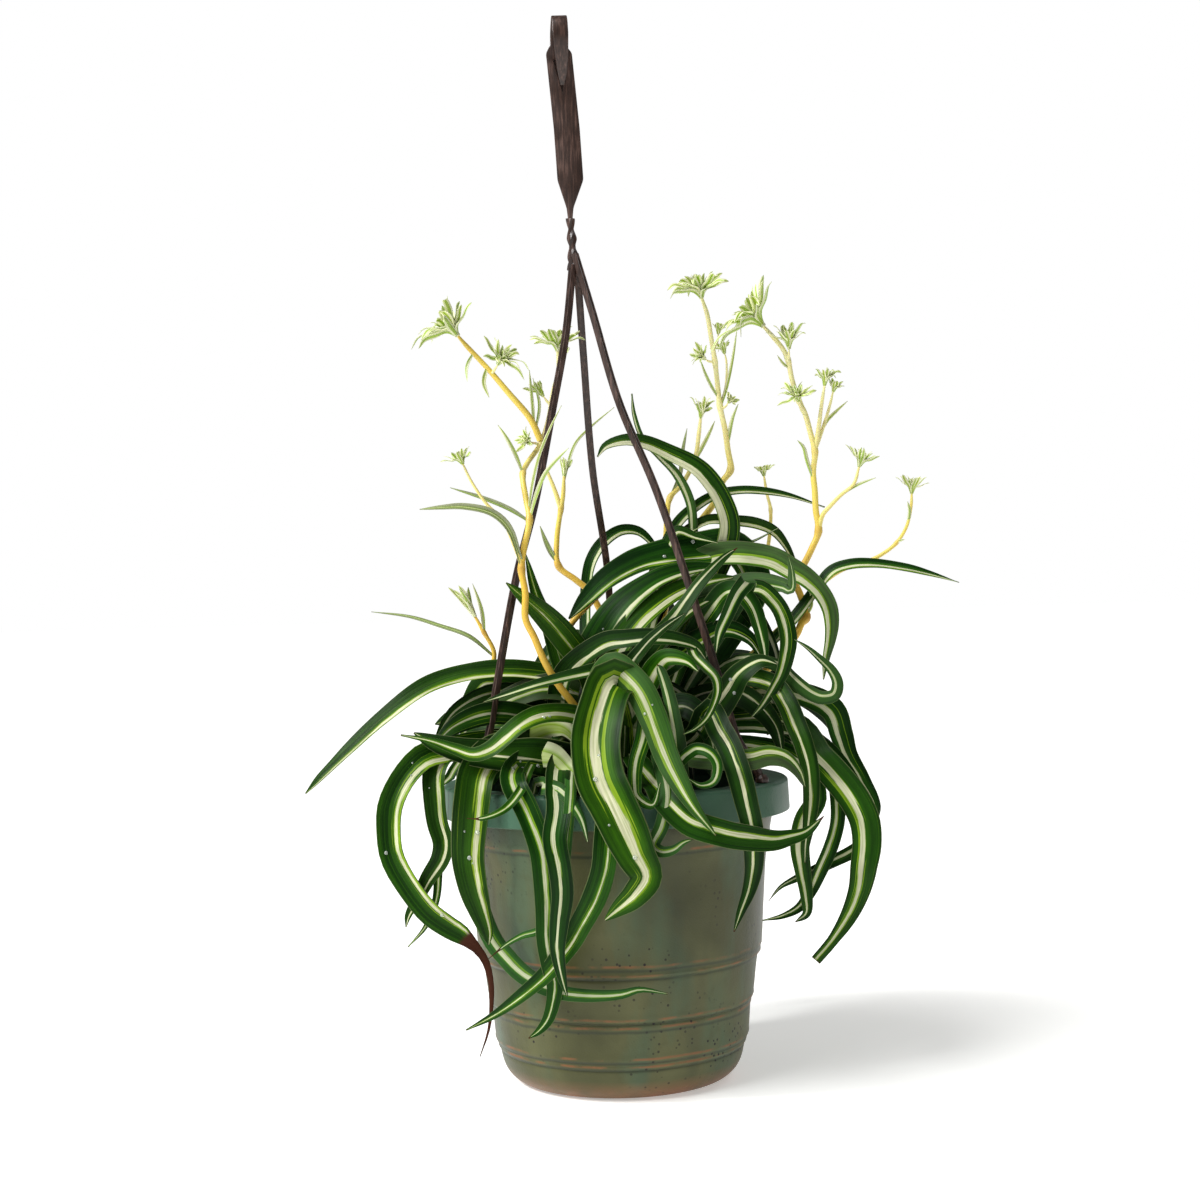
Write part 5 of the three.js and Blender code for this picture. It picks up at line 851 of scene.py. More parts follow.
    (6, 10, 0.2, 0, 1, {"widen": 1, "dry": 0.88}, [(-50, -70, 190), (-58, -98, 173), (-65, -103, 164.5),
        (-72, -107, 160), (-82, -108, 157), (-91, -106, 157.3)]),
    (9, 0, 0.38, 0, 0.6, {}, [(-48, -70, 176), (-42.6, -90, 176.5), (-34, -102, 173), (-27, -108, 165),
        (-21, -112, 154), (-18, -114, 141)]),
    (13, 0, 0.42, 0.2, 1, {"widen": 1.3, "young": 0.5}, [(-50, -60, 196), (-38, -74, 194), (-30, -84, 186),
        (-22, -94, 178), (-14, -104, 165)]),
    (12, 20, 0.4, 0.2, 1, {"widen": 1.7, "young": 0.75}, [(-62, -50, 204), (-55, -56, 207), (-40, -60, 212),
        (-30, -62, 210), (-22, -60, 200)]),
    (13, 10, 0.03, 0, 0.9, {"widen": 1.15}, [(-23.5, -20, 227.6), (-32, -22, 253), (-38, -22, 273),
        (-45.5, -18, 293), (-51.3, -14, 317)]),
    (17, 10, 0.03, 0.1, 1, {"widen": 1.2}, [(-14, -28, 242.6), (-26, -32, 262.4), (-36.5, -36, 275.7),
        (-49.3, -39, 288), (-63.5, -41, 300)]),
    (10, 15, 0.12, 0.2, 0.4, {"widen": 1.5}, [(-56, -8, 236), (-79, -11, 239.5), (-89, -12, 226),
        (-102, -14, 218), (-109, -14, 215)]),
    (12, 15, 0.12, 0.2, 0.3, {"widen": 1.5, "young": 0.04}, [(-20, -22, 232), (-41, -26, 236),
        (-64, -26, 229), (-84, -24, 219), (-102, -24, 214)]),
    (12, 20, 0.5, 0.55, 0.5, {"widen": 1.15}, [(66, 4, 306), (70, 3, 316), (73, 2, 332), (69.4, 2, 345.6),
        (62.6, 2, 358), (53.8, 2, 367.6), (35.5, 3, 377.5), (22, 4, 383.4), (11, 5, 385), (-1, 5, 381.5),
        (-6, 5, 375)]),
    (6, 15, 0.35, 0.2, 0.5, {}, [(51, 6, 328), (49.6, 5, 346), (42, 5, 363), (31.3, 6, 375), (22, 7, 385),
        (17, 7, 400), (16, 7, 413)]),
    (7, 20, 0.3, 0.5, 0.4, {}, [(40.5, 12, 331), (51.6, 13, 342), (65.5, 14, 350), (80.4, 15, 352.6),
        (95.3, 17, 351.6), (111.5, 18, 348), (131.5, 20, 341)]),
    (7, 20, 0.28, 0.5, 0.4, {}, [(58, 10, 334), (75.8, 12, 334), (89.3, 13, 332), (100.2, 15, 327),
        (106.6, 17, 319), (111.8, 19, 308), (114, 20, 298)]),
    (3, 20, 0.3, 0, 0.3, {"widen": 1}, [(66, 8, 312), (76.8, 8, 318), (89, 8, 322), (103, 8, 329)]),
    (7, 20, 0.3, 0.5, 0.4, {}, [(34, -2, 318), (41, -4, 329), (53, -6, 325), (66, -8, 321)]),
    (8, 20, 0.25, 0.5, 0.4, {}, [(-14, 75, 297), (-11, 75, 312), (-4, 76, 323), (7, 77, 330), (18, 77, 329),
        (27, 76, 320.5), (31.7, 75, 314)]),
]
leafKeys = ("width", "turn", "stripe", "shift", "fresh")
leafPaths = [{**dict(zip(leafKeys, row)), **row[5], "path": row[6]} for row in leafRows]

# Broad dark leaves seen in the gaps between the others, their darkness partly painted shade: width, turn and
# path
innerRows = [
    (17, 10, [(-10, -10, 205), (-40, -14, 226), (-70, -18, 232), (-95, -22, 222), (-110, -24, 203)]),
    (16, 10, [(-16, -16, 196), (-44, -30, 214), (-72, -42, 221), (-96, -50, 214), (-112, -56, 200)]),
    (15, 20, [(-10, -10, 200), (-20, -12, 230), (-12, -14, 262), (6, -16, 284)]),
    (16, 15, [(10, -20, 200), (24, -36, 216), (44, -50, 222), (58, -58, 205), (62, -64, 180)]),
    (16, 15, [(20, -14, 200), (50, -24, 226), (76, -32, 228), (96, -38, 210), (102, -42, 190)]),
    (14, 10, [(-20, -30, 196), (-30, -48, 206), (-36, -64, 200), (-38, -78, 186)]),
]

# Each stalk's stems, with radius, plantlet (its name's end, reach, count of leaves, how far they open and
# droop) and path, the first of them rooted in the stock. A fourth number in a point is a joint. Then its
# bracts, with width, turn and path.
stalkRows = [
    ("stalk_1", [
        (2.5, ("1b", 20, 9, 0.9, 0.5), [(-22, -40, 221.5), (-33.6, -44, 237.6), (-41, -46, 250.6),
            (-47.4, -47, 266.6), (-52.3, -47, 277.6), (-52, -47, 293.4), (-54, -45, 308, 1),
            (-52, -43, 321), (-48.3, -40, 338, 1), (-50, -34, 350), (-51.7, -24, 366, 1), (-49, -17, 372),
            (-40.4, -7, 384), (-35.2, -2, 398.5), (-32, 1, 415), (-28.3, 6, 428), (-28.5, 8, 440)]),
        (2.4, ("1a", 24, 10, 0.85, 0.8), [(-40.4, -7, 386), (-46, -7, 399), (-58.7, -8, 415),
            (-71.7, -8, 431), (-85, -8, 446), (-89, -8, 451)]),
        (1.2, ("1c", 16, 7, 0.9, 1.1), [(-69, -8, 427), (-67, -11, 430), (-65, -13, 433)]),
        (1.1, ("1d", 10, 6, 0.6, 0.2), [(-33.3, 0, 407), (-36, 2, 410), (-38, 3, 413)]),
        (1, ("1e", 8, 5, 0.9, 0.2), [(-42, -8, 384), (-45, -12, 384.6), (-47, -14, 385.5)]),
        (1.4, ("8", 12, 6, 0.8, 0.1), [(-54, -45, 311), (-57, -46, 320), (-64.6, -46, 338), (-74, -45, 348),
            (-83, -44, 362), (-88, -43, 373)]),
    ], [
        (7, 20, [(-54, -45, 311), (-61, -50, 332.6), (-71, -53, 342.6), (-87.5, -56, 347), (-101, -58, 347),
            (-115, -58, 346)]),
        (4.5, 20, [(-49, -40, 337), (-60.5, -40, 344.7), (-76.5, -38, 352), (-96, -36, 358.7)]),
        (4, 10, [(-51.6, -24, 366), (-56, -25, 378), (-61, -26, 388), (-66, -26, 396)]),
        (4, 10, [(-48.3, -40, 338), (-44, -39, 352.5), (-38, -37, 366), (-30, -36, 375),
            (-23.4, -36, 381)]),
        (3, 10, [(-48.8, -39, 341), (-46, -34, 360), (-41, -29, 378), (-34, -26, 394), (-27, -25, 407)]),
        (3.5, 10, [(-44, -7, 395), (-45, -6, 412), (-46, -6, 429)]),
        (3, 10, [(-43, -7, 393), (-40.5, -3, 408), (-44, -1, 424)]),
        (3.5, 10, [(-80, -8, 440), (-84, -12, 432), (-84, -14, 423)]),
        (4, 10, [(-72, -8, 431), (-74, -12, 422), (-71, -14, 413)]),
    ]),
    ("stalk_2", [
        (2.4, ("2", 11, 6, 0.4, 0.1), [(-13, 25, 293), (-21, 26, 300.5), (-31.4, 28, 309.4, 1),
            (-32, 30, 325), (-29, 31, 344, 1), (-27.5, 31, 352), (-26.6, 31, 364)]),
        (1.9, None, [(-29, 31, 344), (-33, 32, 357), (-37.5, 33, 369)]),
    ], [
        (3.2, 10, [(-27.2, 31, 358), (-24, 35, 371), (-18.8, 39, 384), (-8.8, 44, 394), (5, 47, 405)]),
        (5, 10, [(-31, 28, 310), (-36, 28, 318), (-39, 28, 325), (-42, 28, 334)]),
    ]),
    ("stalk_3", [
        (2.3, ("3", 13, 7, 0.62, 0.4), [(-26, 2, 272), (2, 6, 300), (12, 8, 310), (23, 10, 317.6),
            (32.5, 12, 320, 1), (35.3, 14, 337), (37.4, 15, 349, 1), (43.7, 17, 355.6), (49.4, 18, 364),
            (54, 18, 375), (56, 18, 387), (57.4, 17, 397)]),
    ], [
        (4.5, 10, [(38, 15, 350), (44, 21, 363), (46, 22, 377), (49, 22, 391)]),
        (4, 10, [(50, 18, 366), (57, 22, 378), (62, 23, 387), (66, 23, 395)]),
    ]),
    ("stalk_4", [
        (2.5, ("4", 22, 9, 0.9, 0.6), [(44, 24, 318), (48.5, 26, 327), (57, 28, 336), (65.4, 30, 347),
            (69.7, 31, 358), (74.7, 31, 365, 1), (73.5, 31, 377), (72, 31, 390), (69.3, 31, 404, 1),
            (68.4, 30, 415), (67, 29, 431, 1), (65, 28, 446), (63, 27, 460), (60, 26, 470)]),
        (1, ("4b", 9, 5, 0.7, 0.6), [(66.6, 29, 431), (63, 26, 431.5), (61, 24, 433)]),
        (1, ("4c", 8, 5, 0.6, 0.5), [(66, 29, 438), (69, 31, 444), (69.5, 31, 448)]),
        (1, ("4d", 8, 5, 0.7, 0.4), [(69.3, 31, 404), (73, 33, 415), (74, 34, 431), (73, 34, 436)]),
        (1, ("4e", 7, 5, 0.9, 0.1), [(70, 31, 402), (73, 29, 404), (74.5, 28, 406)]),
    ], [
        (3.5, 10, [(70, 31, 404), (74, 30, 417), (78, 29, 434), (81, 28, 451)]),
        (4, 10, [(73.4, 31, 380), (75, 30, 389), (77, 29, 397), (80.5, 28, 405)]),
        (3, 10, [(69, 31, 408), (64, 27, 417), (60.5, 26, 425), (58, 26, 433)]),
    ]),
    ("stalk_5", [
        (2.6, ("5a", 26, 11, 0.8, 0.9), [(112, 0, 263.5), (115.4, 2, 270.4), (118.5, 4, 274, 1),
            (117.4, 6, 281), (114.8, 7, 289), (112, 7, 297, 1), (118.5, 7, 307.5), (123, 6, 316),
            (127.3, 6, 326.4, 1), (126, 6, 339), (125.7, 6, 351), (125, 6, 362), (126.4, 6, 375, 1),
            (124, 6, 386), (121, 6, 398), (117, 6, 407, 1), (113.4, 6, 420), (111.4, 6, 431.5, 1),
            (108.4, 6, 438), (103, 6, 445), (97, 6, 452)]),
        (1.8, ("5e", 12, 6, 0.6, 0.9), [(126.4, 6, 375), (129, 5, 389), (131, 4, 402), (133.3, 4, 415)]),
        (1.4, ("5f", 8, 5, 0.7, 0.2), [(127, 6, 377), (132, 8, 390), (136, 9, 402), (138.4, 9, 411)]),
        (1.7, ("5g", 12, 6, 0.7, 0), [(127.3, 6, 326.4), (130, 4, 336), (134.4, 2, 341), (141.5, 1, 348),
            (149.5, 0, 354.5), (153, 0, 365)]),
        (1.2, ("5b", 18, 5, 0.75, 0.4), [(111.4, 6, 430), (112, 3, 434), (112.2, 2, 438)]),
        (1.8, ("5c", 13, 8, 0.9, 0.5), [(121, 6, 398), (118.6, 2, 402), (117.4, 0, 406)]),
    ], [
        (3.5, 10, [(134, 2, 340), (143, 1, 349), (152, 0, 354), (163, 0, 358)]),
        (3.5, 10, [(128, 6, 380), (134, 12, 393), (140, 12, 399), (147, 12, 405)]),
        (3, 10, [(118.5, 4, 275), (122, 2, 282), (121, 0, 290)]),
        (3, 10, [(112.4, 6, 426), (108.5, 4, 429), (105, 3, 434)]),
        (4, 10, [(125, 5, 358), (121.5, 3, 370), (119.5, 2, 378), (116, 1, 382)]),
    ]),
    ("stalk_6", [
        (1.7, ("6", 12, 6, 0.8, 0.1), [(104, 18, 270), (126, 15, 292), (140, 13, 302), (155, 11, 306.6),
            (165, 9, 311), (174.5, 8, 318, 1), (181, 8, 328), (184, 8, 340), (184.6, 8, 348)]),
    ], [
        (3, 10, [(181.5, 8, 329), (183, 6, 337), (182, 5, 343)]),
        (3, 10, [(173, 8, 316), (176, 7, 319), (179.5, 6, 320)]),
    ]),
    ("stalk_7", [
        (2.1, ("7", 18, 7, 0.25, 0), [(-59, 0, 225), (-68, 0, 236), (-73, 0, 246, 1), (-72, 0, 258),
            (-77.7, 0, 270, 1), (-83, 0, 280)]),
    ], [
        (4.5, 25, [(-73, 0, 256), (-87, -3, 268), (-105, -4, 275), (-123, -5, 281), (-146, -6, 284.5)]),
        (4, 10, [(-77.5, 0, 270), (-79, -4, 284), (-84, -5, 300)]),
    ]),
    ("stalk_9", [
        (1.5, ("9", 9, 6, 0.8, 0.1), [(88, 32, 290), (96, 34, 316), (98.5, 34, 340, 1), (96.5, 34, 350),
            (95, 34, 361)]),
    ], []),
]
bractKeys = ("width", "turn", "path")
tuftKeys = ("name", "reach", "count", "open", "droop")
innerPaths = [dict(zip(bractKeys, row)) for row in innerRows]
stalks = []
for name, stemRows, bractRows in stalkRows:
    stems = [{"rooted": number == 0, "radius": radius, "path": path,
              "tuft": dict(zip(tuftKeys, tuft)) if tuft else None}
             for number, (radius, tuft, path) in enumerate(stemRows)]
    stalks.append({"name": name, "stems": stems, "leaves": [dict(zip(bractKeys, row)) for row in bractRows]})


# Living leaf: waxy skin over thin soft flesh, striped along its veins, with a satin shine on top and a
# duller, paler back. The stripes read the blade's own measures, so they follow each curl. Fresh leaves are a
# brighter green with a lime line beside the cream, older ones a deep blue-green.
leafFinish = {
    "cream": "#c9cba8", "creamShade": "#8f9a68", "lime": "#729420", "midFresh": "#2f6009",
    "darkFresh": "#0d2f04", "midOld": "#1e4410", "darkOld": "#092206", "back": "#47703a",
    "youngGreen": "#9ab638", "youngEdge": "#f0f2c6", "dry": "#54301f", "dryDark": "#2a1913",
    "roughness": 0.3, "strand": 0.0004}


def makeLeafMaterial(look):
    material, tree = newMaterial("variegatedSpiderPlantLeaf")
    math2, ease, mix = "ShaderNodeMath", "ShaderNodeMapRange", "ShaderNodeMix"
    across, lift, metres, tint, stripe, shift, dry, young, fresh, deep = (
        addNode(tree, "ShaderNodeAttribute", {"attribute_name": name}, "Fac")
        for name in ("across", "lift", "metres", "tint", "stripe", "shift", "dry", "young", "fresh", "deep"))

    # noises laid out on the blade: how often they change over half its width, and over a metre of its length
    apartness = addNode(tree, math2, {"operation": "MULTIPLY", 0: tint, 1: 60.0})
    blade = addNode(tree, "ShaderNodeCombineXYZ", {0: across, 1: metres, 2: apartness})
    grain = {}
    for name, wide, long, detail in (
            ("wander", 0.5, 24.0, 1.0), ("border", 1.2, 60.0, 2.0), ("fine", 19.0, 9.0, 2.0),
            ("strand", 11.0, 26.0, 2.0), ("patch", 1.5, 45.0, 3.0), ("band", 9.0, 5.0, 2.0),
            ("bands", 3.5, 4.0, 3.0)):
        place = addNode(tree, "ShaderNodeMapping", {"Vector": blade, "Scale": (wide, long, 1)})
        grain[name] = addNode(tree, "ShaderNodeTexNoise", {"Vector": place, "Scale": 1.0, "Detail": detail})

    centre = addNode(tree, math2, {"operation": "MULTIPLY_ADD", 0: grain["wander"], 1: 0.34, 2: shift})
    centre = addNode(tree, math2, {"operation": "SUBTRACT", 0: centre, 1: 0.17})
    off = addNode(tree, math2, {"operation": "ADD", 0: across, 1: centre})
    off = addNode(tree, math2, {"operation": "ABSOLUTE", 0: off})
    off = addNode(tree, math2, {"operation": "MULTIPLY_ADD", 0: grain["border"], 1: 0.22, 2: off})
    off = addNode(tree, math2, {"operation": "SUBTRACT", 0: off, 1: stripe})
    streaky = addNode(tree, math2, {"operation": "MULTIPLY_ADD", 0: grain["fine"], 1: 0.26, 2: off})
    fromStripe = addNode(tree, math2, {"operation": "SUBTRACT", 0: streaky, 1: 0.24})
    inStripe = addNode(tree, ease, {"interpolation_type": "SMOOTHSTEP", "Value": fromStripe, "From Min": -0.035,
                                    "From Max": 0.03, "To Min": 1.0, "To Max": 0.0})
    # lime streaks run the length of the leaf and thin out away from the cream
    limeReach = addNode(tree, math2, {"operation": "MULTIPLY_ADD", 0: fresh, 1: 0.34, 2: 0.1})
    thinning = addNode(tree, ease, {
        "Value": fromStripe, "From Min": -0.02, "From Max": limeReach, "To Min": 0.4, "To Max": 0.72})
    limeShare = addNode(tree, math2, {"operation": "SUBTRACT", 0: grain["band"], 1: thinning})
    inLime = addNode(tree, ease, {"Value": limeShare, "From Min": -0.015, "From Max": 0.03})
    outward = addNode(tree, ease, {"Value": fromStripe, "From Min": 0.05, "From Max": 0.7, "To Max": 0.55})
    toDark = addNode(tree, ease, {"Value": grain["bands"], "From Min": 0.36, "From Max": 0.64, "To Max": 0.6})
    toDark = addNode(tree, math2, {"operation": "ADD", "use_clamp": True, 0: outward, 1: toDark})
    mid, dark = (addNode(tree, mix, {"data_type": "RGBA", "Factor": fresh, "A": look[shade + "Old"],
                                     "B": look[shade + "Fresh"]}) for shade in ("mid", "dark"))
    threads = addNode(tree, ease, {"Value": grain["fine"], "From Min": 0.52, "From Max": 0.66, "To Max": 0.45})
    green = mid
    for share, over in ((toDark, dark), (threads, mid), (inLime, look["lime"])):
        green = addNode(tree, mix, {"data_type": "RGBA", "Factor": share, "A": green, "B": over})
    veined = addNode(tree, ease, {"Value": grain["strand"], "From Min": 0.45, "From Max": 0.7, "To Max": 0.7})
    cream = addNode(tree, mix, {
        "data_type": "RGBA", "Factor": veined, "A": look["cream"], "B": look["creamShade"]})
    # a painted highlight: a fine pale line along each edge
    side = addNode(tree, math2, {"operation": "ABSOLUTE", 0: across})
    paintedEdgeHighlight = addNode(tree, ease, {"Value": side, "From Min": 0.94, "From Max": 0.99, "To Max": 0.4})
    # young leaves, bracts and plantlets have green hearts and pale edges
    toEdge = addNode(tree, ease, {
        "interpolation_type": "SMOOTHSTEP", "Value": off, "From Min": 0.1, "From Max": 0.6})
    pale = addNode(tree, mix, {
        "data_type": "RGBA", "Factor": toEdge, "A": look["youngGreen"], "B": look["youngEdge"]})
    under = addNode(tree, ease, {"Value": lift, "From Min": 0.0, "From Max": -0.2, "To Max": 0.22})
    grown = addNode(tree, math2, {"operation": "SUBTRACT", 0: 1.0, 1: young})
    under = addNode(tree, math2, {"operation": "MULTIPLY", 0: under, 1: grown})
    brown = addNode(tree, mix, {"data_type": "RGBA", "Factor": grain["patch"], "A": look["dry"],
                                "B": look["dryDark"]})
    ragged = addNode(tree, math2, {"operation": "MULTIPLY_ADD", 0: grain["fine"], 1: 0.5, 2: dry})
    withered = addNode(tree, ease, {"Value": ragged, "From Min": 0.55, "From Max": 0.85})
    colour = green
    for share, over in ((inStripe, cream), (paintedEdgeHighlight, look["creamShade"]), (young, pale), (under, look["back"]),
                        (withered, brown)):
        colour = addNode(tree, mix, {"data_type": "RGBA", "Factor": share, "A": colour, "B": over})
    hue = addNode(tree, ease, {"Value": tint, "To Min": 0.49, "To Max": 0.508})
    value = addNode(tree, ease, {"Value": grain["patch"], "From Min": 0.3, "From Max": 0.7, "To Min": 0.8,
                                 "To Max": 1.15})
    # inner leaves are painted darker: partly their own duller green, partly painted shade for where they sit
    # deep in the plant
    inner = addNode(tree, math2, {"operation": "MULTIPLY_ADD", 0: deep, 1: -0.8, 2: 1.0})
    value = addNode(tree, math2, {"operation": "MULTIPLY", 0: value, 1: inner})
    colour = addNode(tree, "ShaderNodeHueSaturation", {"Hue": hue, "Value": value, "Color": colour})
    relief = addNode(tree, math2, {"operation": "MULTIPLY_ADD", 0: grain["fine"], 1: 0.7, 2: grain["strand"]})
    relief = addNode(tree, math2, {"operation": "MULTIPLY", 0: relief, 1: grown})
    bump = addNode(tree, "ShaderNodeBump", {"Strength": 0.5, "Distance": look["strand"], "Height": relief})
    dull = addNode(tree, math2, {"operation": "MAXIMUM", 0: dry, 1: under})
    rough = addNode(tree, math2, {
        "operation": "MULTIPLY_ADD", 0: grain["strand"], 1: 0.14, 2: look["roughness"]})
    rough = addNode(tree, math2, {"operation": "MULTIPLY_ADD", 0: dull, 1: 0.6, 2: rough})
    skin = addNode(tree, "ShaderNodeBsdfPrincipled", {
        "IOR": 1.45, "Specular IOR Level": 0.11, "Subsurface Weight": 0.04,
        "Subsurface Radius": (0.6, 1.0, 0.25), "Subsurface Scale": 0.001, "Base Color": colour,
        "Roughness": rough, "Normal": bump})
    addNode(tree, "ShaderNodeOutputMaterial", {"Surface": skin})
    return material


# Flowering stalk: smooth living stem, amber where it is old and ripe, lemon above and cream where it is young
stalkFinish = {"cream": "#e6e0a6", "lemon": "#dfca5e", "amber": "#d8b040", "joint": "#a8763a", "roughness": 0.4}


def makeStalkMaterial(look):
    material, tree = newMaterial("ripeningFloweringStalk")
    ripe, joint = (addNode(tree, "ShaderNodeAttribute", {"attribute_name": name}, "Fac")
                   for name in ("ripe", "joint"))
    place = addNode(tree, "ShaderNodeTexCoord", out="Object")
    drawn = addNode(tree, "ShaderNodeMapping", {"Vector": place, "Scale": (700.0, 700.0, 60.0)})
    streak = addNode(tree, "ShaderNodeTexNoise", {"Vector": drawn, "Scale": 1.0, "Detail": 3.0})
    cloud = addNode(tree, "ShaderNodeTexNoise", {"Vector": place, "Scale": 55.0, "Detail": 2.0})
    tone = addNode(tree, "ShaderNodeMath", {"operation": "MULTIPLY_ADD", 0: streak, 1: 0.16, 2: ripe})
    tone = addNode(tree, "ShaderNodeMath", {"operation": "MULTIPLY_ADD", 0: cloud, 1: 0.3, 2: tone})
    colours = addNode(tree, "ShaderNodeValToRGB", {
        "stops": [(0.2, look["cream"]), (0.62, look["lemon"]), (1.0, look["amber"])], 0: tone})
    ringed = addNode(tree, "ShaderNodeMix", {
        "data_type": "RGBA", "Factor": joint, "A": colours, "B": look["joint"]})
    bump = addNode(tree, "ShaderNodeBump", {"Strength": 0.3, "Distance": 0.00006, "Height": streak})
    skin = addNode(tree, "ShaderNodeBsdfPrincipled", {
        "Roughness": look["roughness"], "IOR": 1.45, "Subsurface Weight": 0.1,
        "Subsurface Radius": (1.0, 0.6, 0.2), "Subsurface Scale": 0.0015, "Base Color": ringed,
        "Normal": bump})
    addNode(tree, "ShaderNodeOutputMaterial", {"Surface": skin})
    return material


keelCurve = 1.08  # how the sides of a folded blade stand up with the distance from its middle


# Blades are swept from their path points, which carry their own measures as attributes
def makeBladeTree():
    tree, given = newTree("sweepBlades", [
        ("Section Points", "Int", 22), ("Thickness", "Float", 0.0008), ("Ripple", "Float", 0.0006),
        ("Ripple Length", "Float", 0.035), ("Seed", "Float", 3.0), ("Material", "Material", None)])
    math2, named = "ShaderNodeMath", "GeometryNodeInputNamedAttribute"
    lines = addNode(tree, "GeometryNodeMeshToCurve", {0: given["Geometry"]})
    profile = addNode(tree, "GeometryNodeCurvePrimitiveCircle", {
        "Radius": 1.0, "Resolution": given["Section Points"]})
    spot = addNode(tree, "ShaderNodeSeparateXYZ", {0: addNode(tree, "GeometryNodeInputPosition")}).node.outputs
    for name, source in (("across", spot[0]), ("lift", spot[1])):
        profile = addNode(tree, "GeometryNodeStoreNamedAttribute", {
            "data_type": "FLOAT", "domain": "POINT", "Name": name, "Geometry": profile, "Value": source})
    swept = addNode(tree, "GeometryNodeCurveToMesh", {
        "Curve": lines, "Profile Curve": profile, "Fill Caps": True})
    across, lift, half, channel, metres, tint = (
        addNode(tree, named, {"data_type": "FLOAT", "Name": name})
        for name in ("across", "lift", "half", "channel", "metres", "tint"))
    acrossWay, faceWay, middle = (addNode(tree, named, {"data_type": "FLOAT_VECTOR", "Name": name})
                                  for name in ("acrossWay", "faceWay", "centre"))
    # a keel: the sides stand up by a share of the blade's width
    aside = addNode(tree, math2, {"operation": "ABSOLUTE", 0: across})
    keel = addNode(tree, math2, {"operation": "POWER", 0: aside, 1: keelCurve})
    for value in (channel, half):
        keel = addNode(tree, math2, {"operation": "MULTIPLY", 0: keel, 1: value})
    # the edges ripple, each side in its own way
    along = addNode(tree, math2, {"operation": "DIVIDE", 0: metres, 1: given["Ripple Length"]})
    side = addNode(tree, math2, {"operation": "SIGN", 0: across})
    own = addNode(tree, math2, {"operation": "MULTIPLY_ADD", 0: tint, 1: 90.0, 2: given["Seed"]})
    edgePlace = addNode(tree, "ShaderNodeCombineXYZ", {0: along, 1: side, 2: own})
    wave = addNode(tree, "ShaderNodeTexNoise", {"Scale": 1.0, "Detail": 0.0, "Vector": edgePlace})
    bulge = addNode(tree, "ShaderNodeTexNoise", {"Scale": 0.7, "Detail": 1.0, "Vector": edgePlace})
    wave = addNode(tree, math2, {"operation": "SUBTRACT", 0: wave, 1: 0.5})
    edge = addNode(tree, math2, {"operation": "MULTIPLY", 0: aside, 1: aside})
    for value in (given["Ripple"], edge):
        wave = addNode(tree, math2, {"operation": "MULTIPLY", 0: wave, 1: value})
    thick = addNode(tree, math2, {"operation": "MULTIPLY", 0: given["Thickness"], 1: 0.5})
    slim = addNode(tree, math2, {"operation": "MULTIPLY", 0: half, 1: 0.35})
    thick = addNode(tree, math2, {"operation": "MINIMUM", 0: thick, 1: slim})
    rise = addNode(tree, math2, {"operation": "MULTIPLY_ADD", 0: thick, 1: lift, 2: keel})
    rise = addNode(tree, math2, {"operation": "ADD", 0: rise, 1: wave})
    # the outline swells and pulls in a little along the blade
    swell = addNode(tree, "ShaderNodeMapRange", {
        "Value": bulge, "From Min": 0.3, "From Max": 0.7, "To Min": 0.84, "To Max": 1.04})
    out = addNode(tree, math2, {"operation": "MULTIPLY", 0: half, 1: across})
    out = addNode(tree, math2, {"operation": "MULTIPLY", 0: out, 1: swell})
    sideways = addNode(tree, "ShaderNodeVectorMath", {"operation": "SCALE", 0: acrossWay, "Scale": out})
    placed = addNode(tree, "ShaderNodeVectorMath", {"operation": "ADD", 0: middle, 1: sideways})
    upwards = addNode(tree, "ShaderNodeVectorMath", {"operation": "SCALE", 0: faceWay, "Scale": rise})
    placed = addNode(tree, "ShaderNodeVectorMath", {"operation": "ADD", 0: placed, 1: upwards})
    shaped = addNode(tree, "GeometryNodeSetPosition", {"Geometry": swept, "Position": placed})
    endTree(tree, shaped, given["Material"])
    return tree


# Stems are round and follow their path points' own radius
def makeStemTree():
    tree, given = newTree("sweepStems", [("Sides", "Int", 12), ("Material", "Material", None)])
    lines = addNode(tree, "GeometryNodeMeshToCurve", {0: given["Geometry"]})
    size = addNode(tree, "GeometryNodeInputNamedAttribute", {"data_type": "FLOAT", "Name": "half"})
    ring = addNode(tree, "GeometryNodeCurvePrimitiveCircle", {"Radius": 1.0, "Resolution": given["Sides"]})
    swept = addNode(tree, "GeometryNodeCurveToMesh", {"Curve": lines, "Profile Curve": ring, "Scale": size,
                                                      "Fill Caps": True})
    endTree(tree, swept, given["Material"])
    return tree


bladeTree, stemTree = makeBladeTree(), makeStemTree()
leafMaterial, stalkMaterial = makeLeafMaterial(leafFinish), makeStalkMaterial(stalkFinish)


# One object of path lines with attributes, ready for a sweep
def pathObject(name, runs, values):
    places, edges = [], []
    for run in runs:
        start = len(places)
        places += list(run["centre"] * mm)
        edges += [(start + step, start + step + 1) for step in range(len(run["centre"]) - 1)]
    obj = newObject(name, places, [], edges)
    for attribute in values:
        stacked = [np.broadcast_to(run.get(attribute, 0.0), len(run["centre"])) for run in runs]
        setAttribute(obj.data, attribute, "FLOAT", np.concatenate(stacked))
    return obj


bladeValues = ["half", "metres", "tint", "stripe", "shift", "dry", "young", "fresh", "deep", "channel"]


def sweepBlades(name, blades, points=22, thickness=0.6, ripple=3.4):
    for row in blades:
        row["half"] = np.asarray(row["half"]) * mm
    obj = pathObject(name, blades, bladeValues)
    for attribute, key in (("acrossWay", "across"), ("faceWay", "face"), ("centre", "centre")):
        stacked = np.vstack([row[key] for row in blades]) * (mm if key == "centre" else 1)
        setAttribute(obj.data, attribute, "FLOAT_VECTOR", stacked)
    addTree(obj, bladeTree, {"Section Points": points, "Thickness": thickness * mm, "Ripple": ripple * mm,
                             "Material": leafMaterial})
    return bakeMesh(obj)


